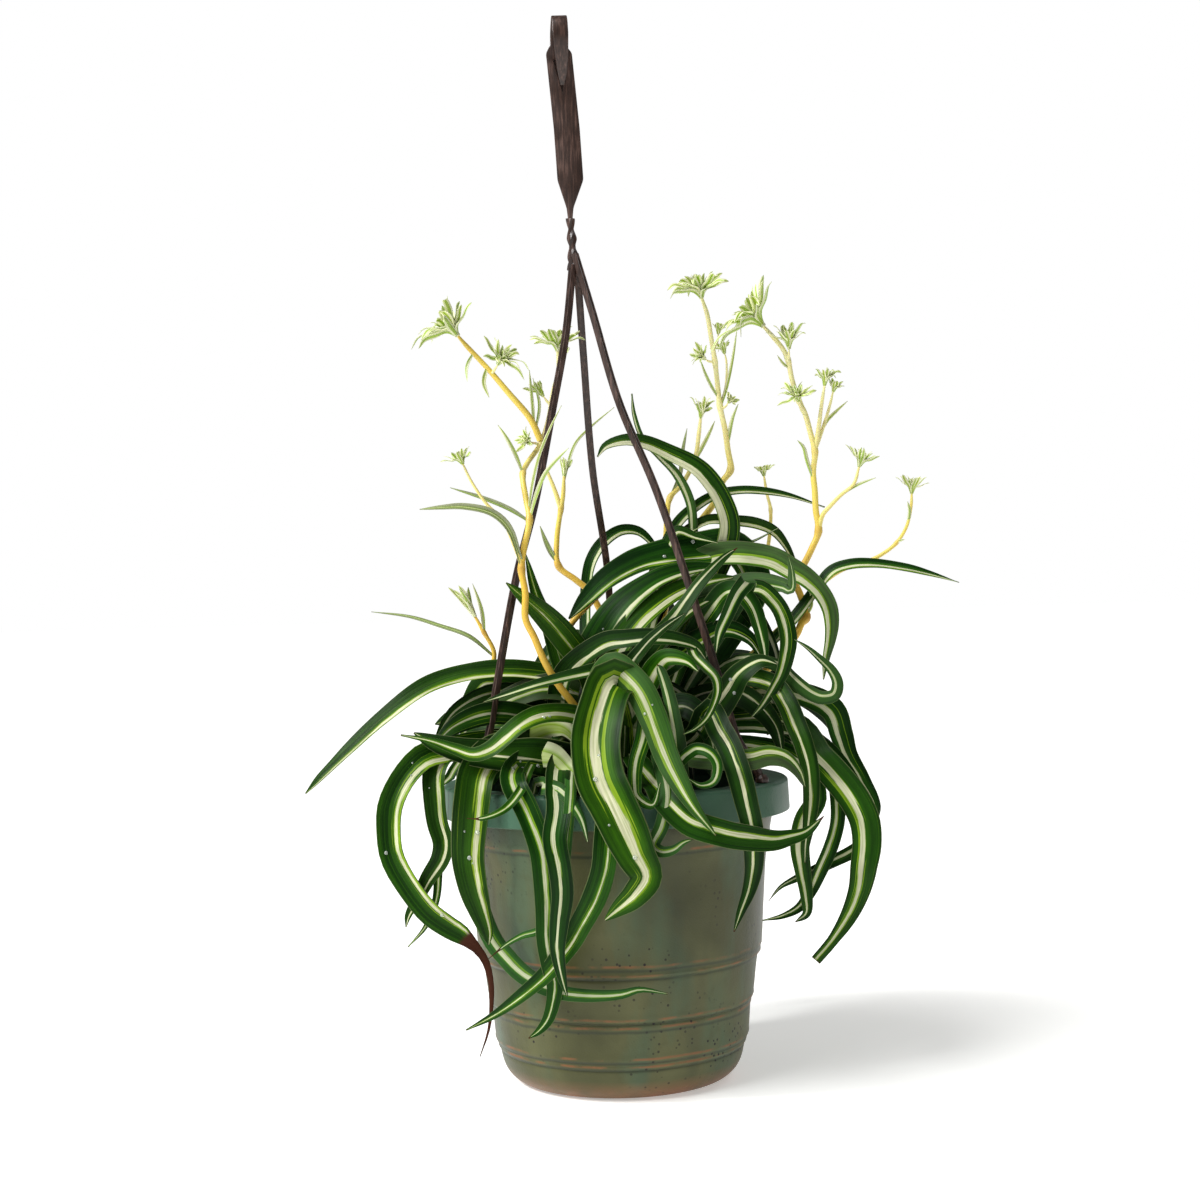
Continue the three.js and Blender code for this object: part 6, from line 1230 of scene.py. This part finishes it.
# How a blade's measures run. Its stripe thins to the tip, its fold flattens, leaves to the left are fresher,
# a dry tip is drawn in, and every tip ends a little dry. The stripe has a low and a high limit, and other pairs
# are a base and what a draw adds or the way along the blade takes.
leafLook = {
    "sections": 56, "widen": 1.1, "tip": 0.5, "wave": 14, "seed": 7, "stripe": (0.1, 0.24),
    "stripeRun": (0.92, 0.3), "shift": 0.5, "fold": 0.3, "foldEach": (0.7, 0.6), "foldRun": (1.6, 1.2),
    "foldTo": 0.7, "freshTo": 60, "freshOver": 100, "fresh": (0.35, 0.65), "dryOver": 0.04,
    "drawnOver": 0.06, "drawnIn": 0.55, "tipDry": 0.6, "tipFrom": 0.985, "tipOver": 0.02,
    "inner": {"sections": 40, "stripe": 0.1, "deep": 0.5}}
lookDraw = drawsFrom(leafLook["seed"])


# Gives one blade its stripe, fold, tint and dry tip. A shift above 0 sets the stripe towards the inside of the
# curve.
def dressBlade(rows, dryFrom=1.0, young=0.0, stripe=None, channel=None, shift=None, fresh=None, deep=0.0):
    look, share, middle = leafLook, rows["share"], len(rows["share"]) // 2
    rows["tint"] = lookDraw()
    thins = look["stripeRun"][0] - look["stripeRun"][1] * share
    rows["stripe"] = (between(look["stripe"], lookDraw) if stripe is None else stripe) * thins
    inside = (rows["centre"].mean(axis=0) - rows["centre"][middle]) * (1, 0, 1)
    toInside = math.copysign(1, rows["across"][middle] @ inside)
    rows["shift"] = look["shift"] * (2 * lookDraw() - 1) if shift is None else -shift * toInside
    fold = look["fold"] if channel is None else channel
    flattens = look["foldRun"][0] - look["foldRun"][1] * fade(share / look["foldTo"])
    rows["channel"] = fold * varied(look["foldEach"], lookDraw) * flattens
    # deep sets how much painted shade darkens a blade that sits inside the plant
    rows["young"], rows["deep"] = young, deep
    toLeft = fade((look["freshTo"] - rows["centre"][middle, 0]) / look["freshOver"])
    rows["fresh"] = toLeft * varied(look["fresh"], lookDraw) if fresh is None else fresh
    if dryFrom < 1:
        rows["dry"] = fade((share - dryFrom) / look["dryOver"])
        rows["half"] = rows["half"] * (1 - look["drawnIn"] * fade((share - dryFrom) / look["drawnOver"]))
    else:
        rows["dry"] = look["tipDry"] * fade((share - look["tipFrom"]) / look["tipOver"])
    return rows


# A route that swings about the upright axis as it goes out, from marks of radius, height and share of the swing
def swungRoute(marks, angle, swing):
    return np.array([(out * math.cos(angle + swing * drift), out * math.sin(angle + swing * drift), height)
                     for out, height, drift in marks])


# Leaves that fill the plant behind and between those the photo shows, by bearing, and at last over the back. A
# rank with an end hangs down over the rim.
fillLook = {
    "seed": 139, "attempts": 30, "swing": 0.9, "droop": (40, 120), "droopAt": 150, "turn": (15, 40),
    "deep": 0.6, "foot": (16, 182), "parts": 10, "ranks": [
        {"count": 11, "from": 14, "to": 124, "reach": (115, 180), "top": (230, 300), "width": (13, 19)},
        {"count": 3, "from": 126, "to": 172, "reach": (70, 98), "top": (205, 245), "width": (12, 17)},
        {"count": 6, "from": 8, "to": 124, "reach": (75, 112), "top": (235, 300), "width": (11, 16)},
        {"count": 7, "from": 46, "to": 134, "reach": (114, 132), "top": (215, 250), "width": (13, 18),
         "end": (60, 140)},
        {"count": 4, "from": 196, "to": 344, "reach": (66, 84), "top": (205, 236), "width": (14, 18)}]}


def fillPath(draw, rank, place):
    bearing = rank["from"] + (rank["to"] - rank["from"]) * (place + 0.15 + 0.7 * draw()) / rank["count"]
    reach, top = between(rank["reach"], draw), between(rank["top"], draw)
    droop = between(fillLook["droop"], draw) * (reach / fillLook["droopAt"])
    swing = (draw() - 0.5) * fillLook["swing"]
    marks = [(*fillLook["foot"], 0), (0.3 * reach, top - 18, 0.1), (0.55 * reach, top, 0.25),
             (0.8 * reach, top - 12, 0.5)]
    if "end" in rank:
        end = between(rank["end"], draw)
        marks += [(reach * 0.97, 205, 0.7), (reach * 1.02, 165, 0.8), (reach * 1.01, end, 1)]
    else:
        marks += [(reach, max(top - droop * 0.6, 190), 0.8), (reach * 1.04, max(top - droop, 184), 1)]
    return swungRoute(marks, math.radians(bearing), swing)


def routeClear(route, half):
    for line, radius in obstacles:
        spots = samples(line, fillLook["parts"])
        near = np.hypot(spots[:, 0], spots[:, 1]) < bendLook["heart"]
        spots = spots[~((spots[:, 2] < bendLook["heartTop"]) & near)]
        if len(spots) and np.linalg.norm(spots[:, None] - route[None], axis=2).min() < radius + half + 1:
            return False
    return True


def fillBlades(look):
    draw = drawsFrom(look["seed"])
    for rank in look["ranks"]:
        for place in range(rank["count"]):
            for attempt in range(look["attempts"]):
                width = between(rank["width"], draw)
                route = fillPath(draw, rank, place)
                if routeClear(denser(route), width / 2):
                    turn = varied(look["turn"], draw)
                    blade = bladeSections(route, width, turn, leafLook["tip"], leafLook["sections"])
                    yield dressBlade(blade, deep=look["deep"])
                    break


# Short inner leaves that stand on the stock and round it, pale at the foot, and close the crown
crownLook = {
    "turnOn": 2.4, "swing": 0.8, "turn": (20, 30), "sections": 30, "points": 14, "channel": 0.3, "deep": 0.8,
    "pale": 0.8, "paleTo": 0.35, "rings": [
        {"count": 34, "foot": (5, 17), "reach": (30, 66), "top": (198, 240), "width": (10, 16), "seed": 61},
        {"count": 16, "foot": (23, 27), "reach": (46, 78), "top": (188, 214), "width": (11, 16), "seed": 88}]}


def crownBlades(look, ring):
    draw = drawsFrom(ring["seed"])
    for leaf in range(ring["count"]):
        angle = leaf * look["turnOn"]  # each leaf turns on from the last by the golden angle
        reach, top, foot = between(ring["reach"], draw), between(ring["top"], draw), between(ring["foot"], draw)
        swing = (draw() - 0.5) * look["swing"]
        marks = [(foot, 158, 0), (foot + 2, 174, 0), (0.42 * reach + 4, top - 10, 0.2),
                 (0.75 * reach, top, 0.5), (reach, top - 12, 0.8), (reach * 1.1, top - 34, 1)]
        width, turn = between(ring["width"], draw), varied(look["turn"], draw)
        blade = bladeSections(swungRoute(marks, angle, swing), width, turn, leafLook["tip"], look["sections"])
        rows = dressBlade(blade, channel=look["channel"], deep=look["deep"])
        rows["young"] = look["pale"] * (1 - fade(rows["share"] / look["paleTo"]))
        yield rows


def stemRoute(stem):
    return rooted(stem["path"]) if stem["rooted"] else np.array([sight(point) for point in stem["path"]])


obstacles += [(stemRoute(stem), stem["radius"]) for stalk in stalks for stem in stalk["stems"]]

heroBlades = []
for leaf in leafPaths:
    route = clearRoute(rooted(leaf["path"]), leaf["width"])
    wave = leafLook["wave"] * (2 * lookDraw() - 1)
    width = leaf["width"] * leaf.get("widen", leafLook["widen"])
    rows = bladeSections(route, width, leaf["turn"], leaf.get("tip", leafLook["tip"]), leafLook["sections"],
                         wave=wave, phase=6.3 * lookDraw())
    heroBlades.append(dressBlade(rows, leaf.get("dry", 1.0), leaf.get("young", 0.0), stripe=leaf["stripe"],
                                 shift=leaf["shift"], fresh=leaf["fresh"]))
innerBlades = []
for leaf in innerPaths:
    look = leafLook["inner"]
    rows = bladeSections(rooted(leaf["path"]), leaf["width"], leaf["turn"], leafLook["tip"], look["sections"])
    innerBlades.append(dressBlade(rows, stripe=look["stripe"], deep=look["deep"]))
middleLeaf = len(heroBlades) // 2
finishPiece(sweepBlades("leavesFront", heroBlades[:middleLeaf]), "leaf", "rosette")
finishPiece(sweepBlades("leavesMiddle", heroBlades[middleLeaf:]), "leaf", "rosette")
finishPiece(sweepBlades("leavesBehind", list(fillBlades(fillLook))), "leaf", "rosette")
crown = [blade for ring in crownLook["rings"] for blade in crownBlades(crownLook, ring)]
finishPiece(sweepBlades("leavesCrown", crown + innerBlades, points=crownLook["points"]), "leaf", "rosette")


# Clasping leaf bases, which the crown stands on: papery straw skins with green between and dark splits along
# them
stockLook = {
    "outline": [(0, 150), (25, 150), (25, 162), (21, 170), (15, 178), (8, 184), (0, 186)], "round": 4,
    "sides": 66, "ribs": 11, "rib": 0.045, "wind": 90, "straw": "#77703f", "olive": "#4a5a22",
    "split": "#1f2410", "roughness": 0.6}


def makeStockMaterial(look):
    material, tree = newMaterial("claspingLeafBases")
    mix, ease = "ShaderNodeMix", "ShaderNodeMapRange"
    place = addNode(tree, "ShaderNodeTexCoord", out="Object")
    upright = addNode(tree, "ShaderNodeMapping", {"Vector": place, "Scale": (1.0, 1.0, 0.18)})
    skins = addNode(tree, "ShaderNodeTexNoise", {"Vector": upright, "Scale": 130.0, "Detail": 3.0})
    splits = addNode(tree, "ShaderNodeTexNoise", {"Vector": upright, "Scale": 420.0, "Detail": 2.0})
    green = addNode(tree, ease, {"Value": skins, "From Min": 0.44, "From Max": 0.56})
    colour = addNode(tree, mix, {"data_type": "RGBA", "Factor": green, "A": look["straw"], "B": look["olive"]})
    cracked = addNode(tree, ease, {"Value": splits, "From Min": 0.58, "From Max": 0.66, "To Max": 0.8})
    colour = addNode(tree, mix, {"data_type": "RGBA", "Factor": cracked, "A": colour, "B": look["split"]})
    bump = addNode(tree, "ShaderNodeBump", {"Strength": 0.4, "Distance": 0.0005, "Height": splits})
    skin = addNode(tree, "ShaderNodeBsdfPrincipled", {
        "Base Color": colour, "Roughness": look["roughness"], "Normal": bump})
    addNode(tree, "ShaderNodeOutputMaterial", {"Surface": skin})
    return material


def makeStock(look):
    stock = turnedSkin("stock", roundCorners(look["outline"], look["round"]), look["sides"])
    for vertex in stock.data.vertices:  # one rib for each clasping base
        bearing = math.atan2(vertex.co.y, vertex.co.x)
        swell = 1 + look["rib"] * math.sin(look["ribs"] * bearing + look["wind"] * vertex.co.z)
        vertex.co.x, vertex.co.y = vertex.co.x * swell, vertex.co.y * swell
    stock.data.materials.append(makeStockMaterial(look))
    stock.data.shade_smooth()
    finishPiece(stock, "leaf", "rosette")


makeStock(stockLook)


# Water drops left by a misting, seated on the upper faces of some leaves. Their small bright glints are partly
# painted: a whitish base colour under part of their clearness makes each drop a pale spot.
dropLook = {
    "seed": 12, "each": 4, "size": (0.6, 1.6), "flat": 0.55, "along": (0.2, 0.72), "across": 0.6, "lift": 0.4,
    "upwards": (-0.1, -0.8, 0.6), "leaves": [0, 1, 22, 25, 26, 35, 36, 37, 38, 40, 42, 47],
    "waterAndPaintedGlint": "#f4fbf2", "roughness": 0.03, "clear": 0.7}


def makeWaterMaterial(look):
    material, tree = newMaterial("waterDropWithPaintedGlint")
    # Only partly clear: the whitish base colour paints a glint on each drop
    waterAndPaintedGlint = addNode(tree, "ShaderNodeBsdfPrincipled", {
        "Base Color": look["waterAndPaintedGlint"], "Roughness": look["roughness"], "IOR": 1.33,
        "Transmission Weight": look["clear"]})
    addNode(tree, "ShaderNodeOutputMaterial", {"Surface": waterAndPaintedGlint})
    return material


def makeDropTree(look):
    tree, given = newTree("seatDrops", [("Flat", "Float", look["flat"]), ("Material", "Material", None)])
    named = "GeometryNodeInputNamedAttribute"
    bead = addNode(tree, "GeometryNodeMeshUVSphere", {"Segments": 8, "Rings": 5, "Radius": 1.0}, "Mesh")
    outwards = addNode(tree, named, {"data_type": "FLOAT_VECTOR", "Name": "outwards"})
    size = addNode(tree, named, {"data_type": "FLOAT", "Name": "size"})
    low = addNode(tree, "ShaderNodeMath", {"operation": "MULTIPLY", 0: size, 1: given["Flat"]})
    seated = addNode(tree, "GeometryNodeInstanceOnPoints", {
        "Points": given["Geometry"], "Instance": bead,
        "Rotation": addNode(tree, "FunctionNodeAlignRotationToVector", {"axis": "Z", "Vector": outwards}),
        "Scale": addNode(tree, "ShaderNodeCombineXYZ", {0: size, 1: size, 2: low})})
    endTree(tree, seated, given["Material"])
    return tree


def makeDrops(look):
    draw = drawsFrom(look["seed"])
    places, outwards, sizes = [], [], []
    least, most = look["size"]
    for number in look["leaves"]:
        rows = heroBlades[number]
        for drop in range(look["each"]):
            row = int(between(look["along"], draw) * (len(rows["share"]) - 1))
            aside = look["across"] * (2 * draw() - 1)
            half, face, across = rows["half"][row] / mm, rows["face"][row], rows["across"][row]
            upper = math.copysign(1, face @ look["upwards"])
            rise = abs(aside) ** keelCurve * rows["channel"][row] * half + look["lift"] * upper
            places.append(rows["centre"][row] + across * aside * half + face * rise)
            outwards.append((face - across * math.copysign(rows["channel"][row], aside)) * upper)
            sizes.append((least + (most - least) * draw() ** 2) * mm)
    obj = newObject("waterDrops", np.array(places) * mm, [])
    setAttribute(obj.data, "outwards", "FLOAT_VECTOR", np.array(outwards))
    setAttribute(obj.data, "size", "FLOAT", np.array(sizes))
    addTree(obj, makeDropTree(look), {"Material": makeWaterMaterial(look)})
    finishPiece(bakeMesh(obj), "leaf", "rosette")


makeDrops(dropLook)
print("rosette made:", len(heroBlades), "leaves, its fill and crown")


# A stem thins to its end, swells at each joint, and is ripe low down and where it is thick
stalkLook = {
    "step": 2.5, "least": 12, "sides": 12, "thin": (0.86, 0.3), "swell": 1.3, "swellReach": 1.1, "narrow": 0.3,
    "narrowOver": 4, "ripeLow": 275, "ripeHigh": 410, "ripeLeast": 0.15, "ripeOff": 0.25, "ripe": 0.9,
    "jointDark": 0.6, "ripeThroughout": {"1a": 0.6}, "bractSections": 24, "bractWidth": 0.7, "bractTip": 0.2,
    "bractYoung": (0.35, 0.75), "bractBroad": 4, "bractSweep": {"points": 12, "thickness": 0.5, "ripple": 0.8}}


def sweepStems(name, runs):
    obj = pathObject(name, runs, ["half", "ripe", "joint"])
    addTree(obj, stemTree, {"Sides": stalkLook["sides"], "Material": stalkMaterial})
    return bakeMesh(obj)


def stemRun(stem, look):
    route, radius = stemRoute(stem), stem["radius"]
    hidden = len(route) - len(stem["path"])
    marks = [0] * hidden + [point[3] if len(point) > 3 else 0 for point in stem["path"]]
    count = max(look["least"], int(np.linalg.norm(np.diff(route, axis=0), axis=1).sum() / look["step"]))
    shares = np.arange(count + 1) / count
    centre = spline(route, shares)[0]
    seen = fade((shares * (len(route) - 1) - hidden) / max(1, len(route) - 1 - hidden))
    size = radius * (look["thin"][0] - look["thin"][1] * seen)
    if stem["tuft"]:  # the stem narrows into the plantlet's heart
        toEnd = np.linalg.norm(centre - centre[-1], axis=1) / (look["narrowOver"] * radius)
        size = size * (1 - look["narrow"] * fade(1 - toEnd))
    joint = np.zeros(count + 1)
    for place in np.flatnonzero(marks):
        apart = np.linalg.norm(centre - route[place], axis=1)
        joint = np.maximum(joint, np.exp(-(apart / (radius * look["swellReach"])) ** 2))
    size = size * (1 + (look["swell"] - 1) * joint)
    ripe = 1 - np.clip((centre[:, 2] - look["ripeLow"]) / (look["ripeHigh"] - look["ripeLow"]), 0, 1)
    throughout = look["ripeThroughout"].get(stem["tuft"]["name"], 0) if stem["tuft"] else 0
    ripe = np.maximum(ripe * min(1, max(look["ripeLeast"], radius / 2 - look["ripeOff"])), throughout)
    return {"centre": centre, "half": size * mm, "ripe": ripe * look["ripe"],
            "joint": joint * ripe * look["jointDark"]}


# A plantlet's leaves. Each round has a turn, and shares of the length, spread, fall and width.
tuftLook = {
    "seed": 100, "seedStep": 37, "width": 0.22, "leastWidth": 3.2, "length": (0.95, 0.45), "spread": (0.7, 0.5),
    "wider": 1.1, "fall": (0.3, 0.6), "sway": 0.5, "clasp": 0.02, "steep": 1.3, "twist": 5, "tip": 0.12,
    "sections": 14, "young": (0.84, 0.16), "stripe": 0.22, "channel": 0.5,
    "sweep": {"points": 10, "thickness": 0.4, "ripple": 0.8}, "rounds": [
        (0, 1.0, 1.0, 0.7, 1.0), (0.5, 0.85, 0.76, 0.4, 1.0), (0.25, 0.66, 0.46, 0.1, 1.0),
        (0.7, 0.55, 0.2, 0, 0.9)]}


# The frame of a plantlet: out and up from the end of its stem, with falls straight down
def tuftPlacer(stem):
    route = stemRoute(stem)
    end = route[-1]
    along = unit(end - route[-2])
    side = unit(np.cross((0, 1, 0), along))
    other = unit(np.cross(along, side))

    def place(out, angle, up, fall=0.0):
        level = side * math.cos(angle) * out + other * math.sin(angle) * out
        return end + level + along * up - np.array((0, 0, fall))
    return place


def tuftLeaves(tuft, look, seed):
    draw = drawsFrom(seed)
    for leaf in range(tuft["count"]):
        length = tuft["reach"] * varied(look["length"], draw)
        spread = tuft["open"] * varied(look["spread"], draw) * look["wider"]
        fall = length * tuft["droop"] * varied(look["fall"], draw)
        sway = look["sway"] * (draw() - 0.5)
        yield (leaf + 0.5) * 2 * math.pi / tuft["count"], length, spread, fall, sway


def tuftBlade(place, look, base, angle, length, spread, fall, sway, width):
    out, up = length * math.sin(spread), length * math.cos(spread)
    uphill = (place(1, angle, 0) - place(0, angle, 0))[2]
    sink = min(fall, out) * max(0, 1 - look["steep"] * max(0, uphill))  # leaves that start uphill fall less
    marks = [(0.9, 0, 0, 0), (0.16 * out + 1.2, 0.3 * up + 1.2, 0, 0.1), (0.5 * out, 0.56 * up, 0.08, 0.3),
             (0.8 * out, 0.86 * up, 0.4, 0.6), (out, up, 1, 1)]
    route = np.array([place(far, angle + sway * turn, base + high, sink * low)
                      for far, high, low, turn in marks])
    rows = bladeSections(route, width, 0, look["tip"], look["sections"], clear=False)
    aside = place(1, angle + math.pi / 2, 0) - place(0, angle, 0)
    ways = spline(route, rows["share"])[1]
    # the blade twists as it falls, so that it shows its face
    twist = sway * look["twist"] * rows["share"]
    across = aside - ways * (ways @ aside)[:, None]
    across = across / np.linalg.norm(across, axis=1)[:, None]
    face = np.cross(ways, across)
    rows["across"] = across * np.cos(twist)[:, None] + face * np.sin(twist)[:, None]
    rows["face"] = np.cross(ways, rows["across"])
    return rows


# A plantlet: four rounds of young leaves, the inner ones upright, and the outer round falls furthest
def makeTuft(stem, look, seed):
    tuft, place = stem["tuft"], tuftPlacer(stem)
    base = -look["clasp"] * tuft["reach"]  # the leaves clasp the end of the stem
    width = max(look["leastWidth"], tuft["reach"] * look["width"])
    dark, paler = look["young"]
    blades = []
    for angle, length, spread, fall, sway in tuftLeaves(tuft, look, seed):
        for turn, long, wide, low, broad in look["rounds"]:
            blade = tuftBlade(place, look, base, angle + turn * 2 * math.pi / tuft["count"], length * long,
                              spread * wide, fall * low, sway * (1 - 4 * turn), width * broad)
            blades.append(dressBlade(blade, young=dark + paler * (len(blades) % 2), stripe=look["stripe"],
                                     channel=look["channel"], shift=0))
    return sweepBlades("tuft_" + tuft["name"], blades, **look["sweep"])


tuftSeed = tuftLook["seed"]
for stalk in stalks:
    runs = [stemRun(stem, stalkLook) for stem in stalk["stems"]]
    finishPiece(sweepStems(stalk["name"].replace("_", "Stem"), runs), "stalk", stalk["name"])
    bracts = []
    for leaf in stalk["leaves"]:
        route = np.array([sight(point) for point in leaf["path"]])
        width = leaf["width"] * stalkLook["bractWidth"]
        rows = bladeSections(route, width, leaf["turn"], stalkLook["bractTip"], stalkLook["bractSections"])
        young = stalkLook["bractYoung"][0 if leaf["width"] > stalkLook["bractBroad"] else 1]
        bracts.append(dressBlade(rows, young=young))
    if bracts:
        bunch = sweepBlades(stalk["name"].replace("_", "Bracts"), bracts, **stalkLook["bractSweep"])
        finishPiece(bunch, "leaf", stalk["name"])
    for stem in stalk["stems"]:
        if stem["tuft"]:
            tuftSeed += tuftLook["seedStep"]
            finishPiece(makeTuft(stem, tuftLook, tuftSeed), "plantlet", "plantlet_" + stem["tuft"]["name"])
print("stalks and plantlets made")


# The lamps: a soft sun for the bright sky, a small lamp that draws the leaves' shadows, and a faint one on the
# far edge. Each has its place, its aim and its settings.
stageLook = {"floor": "#fcfcfa", "sheen": 0.38, "ambient": 0.21, "lamps": [
    ("skyLamp", "SUN", (-1.7, -1.3, 2.4), (0, 0, 0), {"energy": 2.75, "angle": math.radians(34)}),
    ("keyLamp", "AREA", (-1.3, -0.4, 1.2), (0, 0, 0.25), {"size": 0.16, "energy": 14}),
    ("edgeLamp", "AREA", (1.1, 0.9, 1.3), (0, 0, 0.25), {"size": 0.8, "energy": 4})]}


# A white floor and a white backdrop all round. The backdrop lights the plant with about a fifth of what the
# camera sees of it.
def makeStage(look):
    floor = newObject("floor", [(-30, -30, 0), (30, -30, 0), (30, 30, 0), (-30, 30, 0)], [(0, 1, 2, 3)])
    material, tree = newMaterial("matteWhitePaper")
    fibres = addNode(tree, "ShaderNodeTexNoise", {"Vector": addNode(tree, "ShaderNodeTexCoord", out="Object"),
                                                  "Scale": 300.0, "Detail": 3.0})
    bump = addNode(tree, "ShaderNodeBump", {"Strength": 0.05, "Distance": 0.0002, "Height": fibres})
    paper = addNode(tree, "ShaderNodeBsdfPrincipled", {
        "Base Color": look["floor"], "Roughness": 0.9, "Emission Color": look["floor"],
        "Emission Strength": look["sheen"], "Normal": bump})
    addNode(tree, "ShaderNodeOutputMaterial", {"Surface": paper})
    floor.data.materials.append(material)
    world = bpy.data.worlds.new("paleStudio")
    world.use_nodes = True
    tree = world.node_tree
    tree.nodes.clear()
    seen = addNode(tree, "ShaderNodeLightPath", out="Is Camera Ray")
    strength = addNode(tree, "ShaderNodeMapRange", {"Value": seen, "To Min": look["ambient"], "To Max": 1.0})
    white = addNode(tree, "ShaderNodeBackground", {"Color": "#ffffff", "Strength": strength})
    addNode(tree, "ShaderNodeOutputWorld", {"Surface": white})
    bpy.context.scene.world = world


def addLamp(name, kind, place, aim, settings):
    lamp = bpy.data.lights.new(name, kind)
    for setting, value in settings.items():
        setattr(lamp, setting, value)
    obj = bpy.data.objects.new(name, lamp)
    bpy.context.scene.collection.objects.link(obj)
    obj.location = place
    obj.rotation_mode = "QUATERNION"
    obj.rotation_quaternion = (Vector(aim) - Vector(place)).to_track_quat("-Z", "Y")


def makeCamera():
    data = bpy.data.cameras.new("camera")
    data.sensor_width, data.lens = 36, view["lens"]
    data.clip_start, data.clip_end = 0.05, 100
    camera = bpy.data.objects.new("camera", data)
    bpy.context.scene.collection.objects.link(camera)
    camera.location = eye * mm
    camera.rotation_mode = "QUATERNION"
    camera.rotation_quaternion = (Quaternion((1, 0, 0), math.radians(90))
                                  @ Quaternion((0, 0, 1), math.radians(view["roll"])))
    bpy.context.scene.camera = camera


makeStage(stageLook)
for lamp in stageLook["lamps"]:
    addLamp(*lamp)
makeCamera()
bpy.context.scene.view_settings.view_transform = "Standard"
print("stage, lights and camera made")
